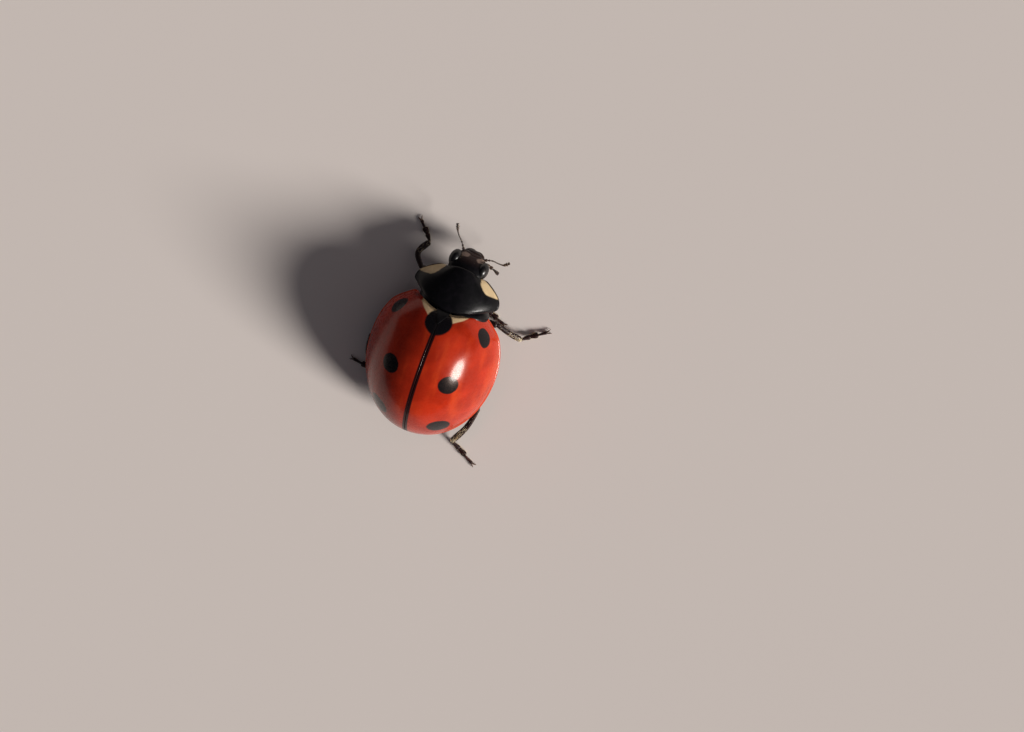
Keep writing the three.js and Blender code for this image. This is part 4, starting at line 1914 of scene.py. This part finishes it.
    def palp(self, path: Sequence[Point]) -> tuple[Shape, list[Array]]:
        """Four segments, of which the last is a blade set on edge that widens like an axe.

        Args:
            path: from its root to its tip.

        Returns:
            The shape, and the rings of each segment for its bristles.
        """
        cuts = [(0.0, 0.14, 0.06, 0.06), (0.12, 0.48, 0.050, 0.072), (0.46, 0.62, 0.055, 0.072)]
        rings = []
        for low, high, start, end in cuts:
            stops = [(0, start), (0.8, end), (1, 0.8 * end)]
            rings.append(segment(path, stops, 0.9, 18, 18, (low, high), 0.12))
        thin = 0.45
        blade = [(0, 0.045 * thin), (0.3, 0.075 * thin), (0.75, 0.135 * thin), (1, 0.13 * thin)]
        rings.append(segment(path, blade, 2.1, 22, 18, (0.6, 1.0), 0.10))
        return Shape.joined(loft(r) for r in rings), rings

    def make(self, maker: Maker, looks: "Looks") -> None:
        """Makes the head's pieces and their bristles.

        Args:
            maker: makes the pieces.
            looks: the finishes.
        """
        capsule = self.capsule()
        placed = capsule @ self.turn.T + np.asarray(self.centre)
        maker.piece("head_capsule", self.placed(loft(capsule)), looks.head, Slot.SHELL, ["head"])
        maker.piece("mouth_plates", self.mouth(), looks.mouth, Slot.MOUTH, ["mouth"])
        coat = Coat("head_bristles", 11, 6)
        coat.grow(placed, Tuft(150, 0.05, 0.002, 0.7, -1.0, rows=(0.06, 0.40)))
        for (name, side), path, palp in zip(SIDES.items(), self.feelers, self.palps):
            eye = self.eye(side)
            maker.piece(f"compound_eye_{name}", eye, looks.eye, Slot.EYE, [f"eye_{name}"])
            shape, rings = self.feeler(path)
            maker.piece(f"feeler_{name}", shape, looks.feeler, Slot.FEELER, [f"antenna_{name}"])
            for number, ring in enumerate(rings):
                count = 30 if number > 7 else 8
                coat.grow(ring, Tuft(count, 0.045, 0.0022, 0.75, rows=(0.15, 0.9)))
            shape, rings = self.palp(palp)
            maker.piece(f"mouth_feeler_{name}", shape, looks.mouth, Slot.MOUTH, [f"palp_{name}"])
            for ring in rings[1:]:
                coat.grow(ring, Tuft(30, 0.05, 0.003, 0.7, rows=(0.1, 0.85)))
        coat.make(maker, looks.hair)


# ---------------- legs

LIMB_SIDES = 30
THIGH_TUFT = Tuft(120, 0.06, 0.0028, 0.82, rows=(0.1, 0.93))
SHIN_TUFTS = (
    Tuft(120, 0.07, 0.0034, 0.80, rows=(0.1, 0.5)),
    Tuft(110, 0.10, 0.0050, 0.78, rows=(0.45, 0.99)),
    Tuft(220, 0.10, 0.0066, 0.84, rows=(0.5, 0.99), columns=(0.12, 0.38)),
)
SOLE_TUFT = Tuft(150, 0.075, 0.0038, 0.62, rows=(0.1, 0.95), columns=(0.5, 1.0))
FOOT_TOP_TUFT = Tuft(30, 0.05, 0.0026, 0.8, rows=(0.1, 0.95), columns=(0.0, 0.5))


@dataclass(frozen=True)
class Leg:
    """One leg, from its hip to its claws.

    Attributes:
        name: such as front_left.
        hip: where the thigh starts, under the body.
        knee: end of the thigh.
        bow: middle of the shin, which bends outwards.
        ankle: end of the shin.
        toe: end of the foot.
        girth: thickness against that of a middle leg.
        spurred: whether the shin ends in two spurs.
        hairy: number of bristles on the shin against that of a hind leg.
        foot_heights: of the foot's middle line at its four points.
        sole_z: the foot's segments lie no lower than this.
    """

    name: str
    hip: Point
    knee: Point
    bow: Point
    ankle: Point
    toe: Point
    girth: float = 1.0
    spurred: bool = True
    hairy: float = 1.0
    foot_heights: tuple[float, ...] = (0.25, 0.125, 0.085, 0.075)
    sole_z: float = 0.006

    @property
    def side(self) -> float:
        """+1 on the left side of the body and -1 on the right."""
        return 1.0 if self.name.endswith("left") else -1.0

    def coxa(self) -> Array:
        """Rings of the hip: an egg set across the underside of the body.

        Returns:
            The rings, as rows x columns x 3.
        """
        wide = 0.42 if self.name.startswith("hind") else 0.30
        rings = ball((wide, 0.25, 0.20), 26, 36, 2.3)
        x, y, z = self.hip
        return rings + np.array([x - self.side * (wide - 0.15), y, z + 0.1])

    def thigh(self) -> tuple[Shape, Array]:
        """The short link at the hip and the spindle-shaped thigh, grooved for the shin.

        Returns:
            The shape, and the thigh's rings for its bristles.
        """
        hip, knee = np.array(self.hip), np.array(self.knee)
        share = ends_dense(46)
        middle = (hip + knee) / 2 + np.array([0, 0, 0.03])
        path = path_at([hip, middle, knee], lerp(0.07, 1.02, share))
        stops = [(0, 0.10), (0.2, 0.145), (0.5, 0.172), (0.8, 0.145), (1, 0.100)]
        rings = rod(path, self.girth * swelling(share, stops, 0.07), 0.92, LIMB_SIDES)
        under = np.clip(-np.sin(ring_angles(LIMB_SIDES)), 0, 1) ** 6
        rings[..., 2] += 0.035 * under[None, :] * smoothstep(share, 0.45, 0.7)[:, None]
        link_stops = [(0, 0.11), (0.5, 0.13), (1, 0.11)]
        link = segment([hip, knee], link_stops, 0.9, 24, 16, (-0.02, 0.15), 0.2)
        return Shape.joined([loft(rings), loft(link)]), rings

    def shin_path(self, share: Array) -> Array:
        """The middle line of the shin, bowed outwards."""
        end = np.array(self.ankle) + np.array([0, 0, -0.02])
        return path_at([self.knee, self.bow, end], share)

    def shin(self) -> tuple[Shape, Array]:
        """The shin, wider towards the foot, with its ridge, and its spurs.

        Returns:
            The shape, and the shin's rings for its bristles.
        """
        share = ends_dense(50)
        stops = [(0, 0.075), (0.12, 0.088), (0.5, 0.102), (0.85, 0.116), (1, 0.100)]
        radius = self.girth * swelling(share, stops, 0.05)
        rings = rod(self.shin_path(lerp(-0.02, 1.0, share)), radius, 0.8, LIMB_SIDES)
        parts = [loft(rings)]
        if self.spurred:
            end = self.shin_path(np.array([0.9, 1.0]))
            ahead = unit(end[1] - end[0])
            across = unit(np.cross(UP, ahead))
            for offset in (-0.055, 0.055):
                step = np.linspace(0, 1, 10)[:, None]
                spur = end[1] - 0.02 * ahead + across * offset + ahead * 0.13 * step
                spur[:, 2] -= 0.045 + 0.03 * step[:, 0]
                parts.append(loft(rod(spur, 0.016 * (1 - 0.85 * step[:, 0]), 1.0, 10)))
        return Shape.joined(parts), rings

    def foot_points(self) -> Array:
        """Points of the foot's middle line: down from the ankle, then along the floor.

        Returns:
            Four points.
        """
        shares = np.array([0.0, 0.30, 0.62, 0.97])[:, None]
        points = lerp(np.array(self.ankle), np.array(self.toe), shares)
        points[:, 2] = self.foot_heights
        return points

    def foot(self) -> tuple[Shape, list[Array]]:
        """Two pads, of which the second is split in two lobes, a tiny third segment between the
        lobes and the slender last segment that carries the claws.

        Returns:
            The shape, and the rings of each segment for its bristles.
        """
        line = self.foot_points()
        rows, pad_sides = 24, 26
        share = np.linspace(0, 1, rows)
        first_stops = [(0, 0.040), (0.4, 0.060), (0.85, 0.094), (1, 0.084)]
        first = segment(line, first_stops, 0.72, pad_sides, rows, (-0.03, 0.36), 0.12)
        second_stops = [(0, 0.05), (0.35, 0.085), (0.75, 0.115), (1, 0.088)]
        second = segment(line, second_stops, 0.58, pad_sides, rows, (0.31, 0.64), 0.16)
        third = segment(line, [(0, 0.035), (1, 0.04)], 0.9, 16, rows, (0.50, 0.62), 0.2)
        last_stops = [(0, 0.036), (0.5, 0.048), (0.85, 0.062), (1, 0.052)]
        last = segment(line, last_stops, 0.9, 20, rows, (0.54, 0.97), 0.1)
        over_pad = 0.045
        third[..., 2] += over_pad
        last[..., 2] += over_pad * (1 - smoothstep(share, 0.2, 0.9))[:, None]
        cleft = 0.11 * np.exp(-((np.cos(ring_angles(pad_sides)) / 0.35) ** 2))
        along = unit(path_at(line, np.array([0.64])) - path_at(line, np.array([0.40])))
        second -= (cleft[None, :] * smoothstep(share, 0.7, 1.0)[:, None])[..., None] * along
        rings = [first, second, third, last]
        for ring in rings:
            ring[..., 2] = np.maximum(ring[..., 2], self.sole_z)
        return Shape.joined(loft(r) for r in rings), rings

    def claws(self) -> Shape:
        """A pair of curved claws, each with a tooth at its base.

        Returns:
            The shape of both.
        """
        base = path_at(self.foot_points(), np.array([0.93, 0.97]))
        ahead = unit(base[1] - base[0])
        ahead[2] = 0
        across = np.cross(UP, ahead)
        up = np.array(UP)
        hook_stops = [(0, 0.026), (0.4, 0.022), (0.8, 0.012), (1, 0.005)]
        tooth_stops = [(0, 0.020), (0.5, 0.014), (1, 0.004)]
        parts = []
        for side in (-1.0, 1.0):
            hook = [base[0] + across * side * 0.012,
                    base[1] + ahead * 0.05 + across * side * 0.045 + up * 0.012,
                    base[1] + ahead * 0.11 + across * side * 0.075 - up * 0.015,
                    base[1] + ahead * 0.135 + across * side * 0.085 - up * 0.068]
            root = hook[1] - up * 0.01
            tooth = [root, root + ahead * 0.02 - up * 0.03, root + ahead * 0.015 - up * 0.062]
            parts.append(loft(segment(hook, hook_stops, 1.0, 12, 20, blunt=0.05)))
            parts.append(loft(segment(tooth, tooth_stops, 1.0, 10, 20, blunt=0.05)))
        shape = Shape.joined(parts)
        shape.points[:, 2] = np.maximum(shape.points[:, 2], 0.0)
        return shape

    def make(self, maker: Maker, looks: "Looks", seed: int) -> None:
        """Makes the leg's five pieces and its bristles.

        Args:
            maker: makes the pieces.
            looks: the finishes.
            seed: start of the bristles' random numbers.
        """
        name = self.name
        maker.piece(f"hip_{name}", loft(self.coxa()), looks.leg, Slot.LEG, [f"coxa_{name}"])
        thigh, thigh_rings = self.thigh()
        maker.piece(f"thigh_{name}", thigh, looks.leg, Slot.LEG, [f"femur_{name}"])
        shin, shin_rings = self.shin()
        maker.piece(f"shin_{name}", shin, looks.leg, Slot.LEG, [f"tibia_{name}"])
        foot, foot_rings = self.foot()
        maker.piece(f"foot_{name}", foot, looks.foot, Slot.LEG, [f"tarsus_{name}"])
        maker.piece(f"claws_{name}", self.claws(), looks.claw, Slot.FEELER)
        coat = Coat(f"bristles_{name}", seed, 4)
        coat.grow(thigh_rings, THIGH_TUFT)
        for tuft in SHIN_TUFTS:
            coat.grow(shin_rings, replace(tuft, count=int(tuft.count * self.hairy)))
        first, second, _, last = foot_rings
        for ring, count in ((first, 150), (second, 150), (last, 40)):
            coat.grow(ring, replace(SOLE_TUFT, count=count))
            coat.grow(ring, replace(FOOT_TOP_TUFT, count=count // 5))
        coat.make(maker, looks.hair)


@dataclass(frozen=True)
class Legs:
    """The six legs in mid stride."""

    legs: tuple[Leg, ...] = (
        Leg("front_left", (0.42, -3.05, 0.5), (1.52, -3.15, 0.79), (1.86, -3.58, 0.52),
            (1.62, -4.06, 0.27), (2.25, -4.73, 0.12), 1.05, False, 0.12),
        Leg("front_right", (-0.36, -3.05, 0.5), (-1.30, -3.22, 0.76), (-1.34, -2.78, 0.50),
            (-1.22, -2.40, 0.27), (-2.07, -2.03, 0.12), 0.95, False, 0.20),
        Leg("middle_left", (0.75, -1.75, 0.42), (1.96, -1.72, 0.70), (1.80, -1.20, 0.50),
            (1.52, -0.78, 0.27), (2.40, -0.62, 0.12), hairy=0.6),
        Leg("middle_right", (-0.72, -1.78, 0.42), (-1.86, -2.14, 0.74), (-2.34, -1.94, 0.52),
            (-2.84, -1.79, 0.27), (-3.73, -2.42, 0.12), hairy=0.6),
        Leg("hind_left", (0.90, 0.0, 0.42), (2.52, 0.02, 0.66), (2.42, 0.80, 0.50),
            (1.95, 1.50, 0.27), (3.02, 1.37, 0.12), 1.05),
        Leg("hind_right", (-0.90, 0.0, 0.42), (-2.26, 1.22, 0.66), (-2.06, 2.13, 0.50),
            (-1.68, 2.96, 0.27), (-2.77, 3.61, 0.12), 1.06),
    )

    def make(self, maker: Maker, looks: "Looks") -> None:
        """Makes every leg."""
        for number, leg in enumerate(self.legs):
            leg.make(maker, looks, 40 + number)


# ---------------- all the finishes together


@dataclass(frozen=True)
class Looks:
    """The finishes that several sub-assemblies share."""

    shell: bpy.types.Material
    neck_shield: bpy.types.Material
    underside: bpy.types.Material
    head: bpy.types.Material
    eye: bpy.types.Material
    leg: bpy.types.Material
    foot: bpy.types.Material
    claw: bpy.types.Material
    mouth: bpy.types.Material
    feeler: bpy.types.Material
    hair: bpy.types.Material

    @classmethod
    def for_stance(cls, stance: Stance) -> "Looks":
        """Builds them all.

        Args:
            stance: where the animal's frame lies.

        Returns:
            The finishes.
        """

        def horn(name: str, dark: Colour, light: Colour, **rest: float) -> bpy.types.Material:
            """Builds one horny finish, from the fields of HornFinish."""
            return HornFinish(name, dark, light, **rest).material(stance)

        return cls(
            shell=ShellFinish().material(stance),
            neck_shield=NeckShieldFinish().material(stance),
            underside=UndersideFinish().material(stance),
            head=HeadFinish().material(stance),
            eye=horn("eye_black", (0.004, 0.004, 0.005), (0.012, 0.006, 0.005), rough=0.26,
                     grain=40.0, depth=0.0003, coat=0.08),
            leg=horn("leg_black", (0.014, 0.0035, 0.0035), (0.048, 0.013, 0.009), rough=0.44,
                     coat=0.08, shine=0.3),
            foot=horn("foot_brown", (0.018, 0.0035, 0.0035), (0.056, 0.014, 0.009), rough=0.44,
                      grain=30.0, coat=0.08, shine=0.3),
            claw=horn("claw_brown", (0.060, 0.020, 0.008), (0.12, 0.045, 0.016), rough=0.25,
                      grain=30.0, depth=0.0006, lit=0.5),
            mouth=horn("mouth_brown", (0.018, 0.009, 0.008), (0.070, 0.034, 0.020), grain=20.0,
                       lit=0.5),
            feeler=horn("feeler_brown", (0.026, 0.011, 0.008), (0.080, 0.036, 0.018), rough=0.40,
                        grain=30.0, depth=0.0010, lit=0.5),
            hair=horn("hair_gold", (0.93, 0.70, 0.40), (0.97, 0.86, 0.60), rough=0.35, grain=10.0,
                      depth=0.0002, lit=0.6),
        )


# ---------------- camera, floor and light


@dataclass(frozen=True)
class Lamp:
    """A round lamp so far off that it lights the floor evenly.

    Attributes:
        name: its name.
        bearing: horizontal direction to it in the animal's frame, in degrees from +X to +Y.
        height: its elevation in degrees.
        spread: how large it looks, in degrees: a wide one gives soft shadows.
        strength: watts to a square metre.
        colour: its colour.
        mirrored: whether it shows in reflections.
    """

    name: str
    bearing: float
    height: float
    spread: float
    strength: float
    colour: Colour = (1.0, 1.0, 1.0)
    mirrored: bool = True

    def make(self) -> None:
        """Adds the lamp."""
        lamp = bpy.data.lights.new(self.name, "SUN")
        lamp.energy = self.strength
        lamp.angle = math.radians(self.spread)
        lamp.color = self.colour
        holder = bpy.data.objects.new(self.name, lamp)
        bearing, height = math.radians(self.bearing), math.radians(self.height)
        direction = Vector((math.cos(bearing) * math.cos(height),
                            math.sin(bearing) * math.cos(height), math.sin(height)))
        holder.visible_glossy = self.mirrored
        holder.rotation_euler = direction.to_track_quat("Z", "Y").to_euler()
        bpy.context.scene.collection.objects.link(holder)


@dataclass(frozen=True)
class Studio:
    """Camera, floor, lamps and sky.

    Attributes:
        target: the point of the animal that the camera is laid out about, in millimetres.
        tilt: elevation of the camera in degrees.
        swing: how far it stands to the animal's right of straight ahead, in degrees.
        roll: how far it is rolled, in degrees.
        away: distance in millimetres.
        lens: focal length for a sensor 36 mm wide.
        aim: how far right and up of the target the camera looks, in millimetres.
        floor_radius: in metres.
        backdrop: what the camera sees beyond the floor.
        sky: the even light of the room.
        lamps: a low key lamp on its right, a weak wide one ahead of that, and a fill on its left.
    """

    target: Point = (0.0, 0.0, 1.5)
    tilt: float = 71.0
    swing: float = 20.0
    roll: float = 19.4
    away: float = 80.0
    lens: float = 75.5
    aim: tuple[float, float] = (3.113, -0.097)
    floor_radius: float = 2.5
    backdrop: Colour = (0.539, 0.472, 0.436)
    sky: Colour = (0.040, 0.038, 0.045)
    lamps: tuple[Lamp, ...] = (
        Lamp("key_lamp", 171.0, 23.5, 19.0, 4.45, (1.0, 0.95, 0.90)),
        Lamp("side_lamp", 205.0, 45.0, 60.0, 0.15, (1.0, 0.93, 0.90)),
        Lamp("fill_lamp", 30.0, 65.0, 80.0, 0.05, (0.95, 0.96, 1.0), False),
    )

    def camera(self, stance: Stance) -> None:
        """Adds the camera.

        Args:
            stance: where the animal's frame lies.
        """
        tilt, swing, roll = (math.radians(v) for v in (self.tilt, self.swing, self.roll))
        back = Vector((-math.sin(swing) * math.cos(tilt), -math.cos(swing) * math.cos(tilt),
                       math.sin(tilt)))
        ahead = Vector((0, -1, 0))
        level_up = (ahead - back * ahead.dot(back)).normalized()
        level_right = level_up.cross(back)
        up = level_up * math.cos(roll) - level_right * math.sin(roll)
        right = level_right * math.cos(roll) + level_up * math.sin(roll)
        target = Vector(self.target)
        place = target + back * self.away
        look = target + right * self.aim[0] + up * self.aim[1]
        z_axis = (place - look).normalized()
        x_axis = up.cross(z_axis).normalized()
        y_axis = z_axis.cross(x_axis)
        data = bpy.data.cameras.new("camera")
        data.lens = self.lens
        data.sensor_width = 36.0
        data.clip_start, data.clip_end = 0.001, 20.0
        holder = bpy.data.objects.new("camera", data)
        turned = Matrix((x_axis, y_axis, z_axis)).transposed().to_4x4()
        turned.translation = Vector(stance.metres(np.array(place)).tolist())
        holder.matrix_world = turned
        bpy.context.scene.collection.objects.link(holder)
        bpy.context.scene.camera = holder

    def floor(self, stance: Stance) -> None:
        """Adds the floor, a large disc whose top is at z = 0.

        Args:
            stance: where the animal's frame lies.
        """
        mesh = bpy.data.meshes.new("floor")
        angle = 2 * math.pi * np.arange(96) / 96
        rim = np.stack([np.cos(angle), np.sin(angle), 0 * angle], axis=-1) * self.floor_radius
        mesh.from_pydata(rim.tolist(), [], [list(range(96))])
        mesh.materials.append(FloorFinish().material(stance))
        made = bpy.data.objects.new("floor", mesh)
        bpy.context.scene.collection.objects.link(made)

    def world(self) -> None:
        """Gives the room a dim even light, and a pale backdrop that only the camera sees."""
        sky = bpy.data.worlds.new("studio")
        sky.use_nodes = True
        nodes, links = sky.node_tree.nodes, sky.node_tree.links
        room = nodes["Background"]
        room.inputs["Color"].default_value = (*self.sky, 1.0)
        seen = nodes.new("ShaderNodeBackground")
        seen.inputs["Color"].default_value = (*self.backdrop, 1.0)
        either = nodes.new("ShaderNodeMixShader")
        rays = nodes.new("ShaderNodeLightPath")
        links.new(rays.outputs["Is Camera Ray"], either.inputs[0])
        links.new(room.outputs[0], either.inputs[1])
        links.new(seen.outputs[0], either.inputs[2])
        links.new(either.outputs[0], nodes["World Output"].inputs["Surface"])
        bpy.context.scene.world = sky

    def make(self, stance: Stance) -> None:
        """Adds everything.

        Args:
            stance: where the animal's frame lies.
        """
        self.camera(stance)
        self.floor(stance)
        self.world()
        for lamp in self.lamps:
            lamp.make()


# ---------------- the whole animal


def main() -> None:
    """Builds the ladybird, its floor, camera and lights."""
    logging.basicConfig(level=logging.INFO, format="%(name)s: %(message)s")
    bpy.context.scene.view_settings.view_transform = "Standard"
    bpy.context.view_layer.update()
    dome = Dome()
    stance = Stance.from_frame(dome)
    LOG.info("shift %s", stance.shift)
    maker = Maker(stance)
    looks = Looks.for_stance(stance)
    Studio().make(stance)
    cases = WingCases(dome)
    cases.make(maker, WingCaseFinish())
    SmallShield(dome).make(maker, looks.shell)
    NeckShield().make(maker, looks.neck_shield)
    down = Coat("underside_bristles", 5, 3)
    ForeBody().make(maker, looks.underside, down)
    Trunk(dome, cases).make(maker, looks.underside, down)
    down.make(maker, looks.hair)
    Head().make(maker, looks)
    Legs().make(maker, looks)
    LOG.info("%d pieces", len(maker.pieces))


if __name__ == "__main__":
    main()
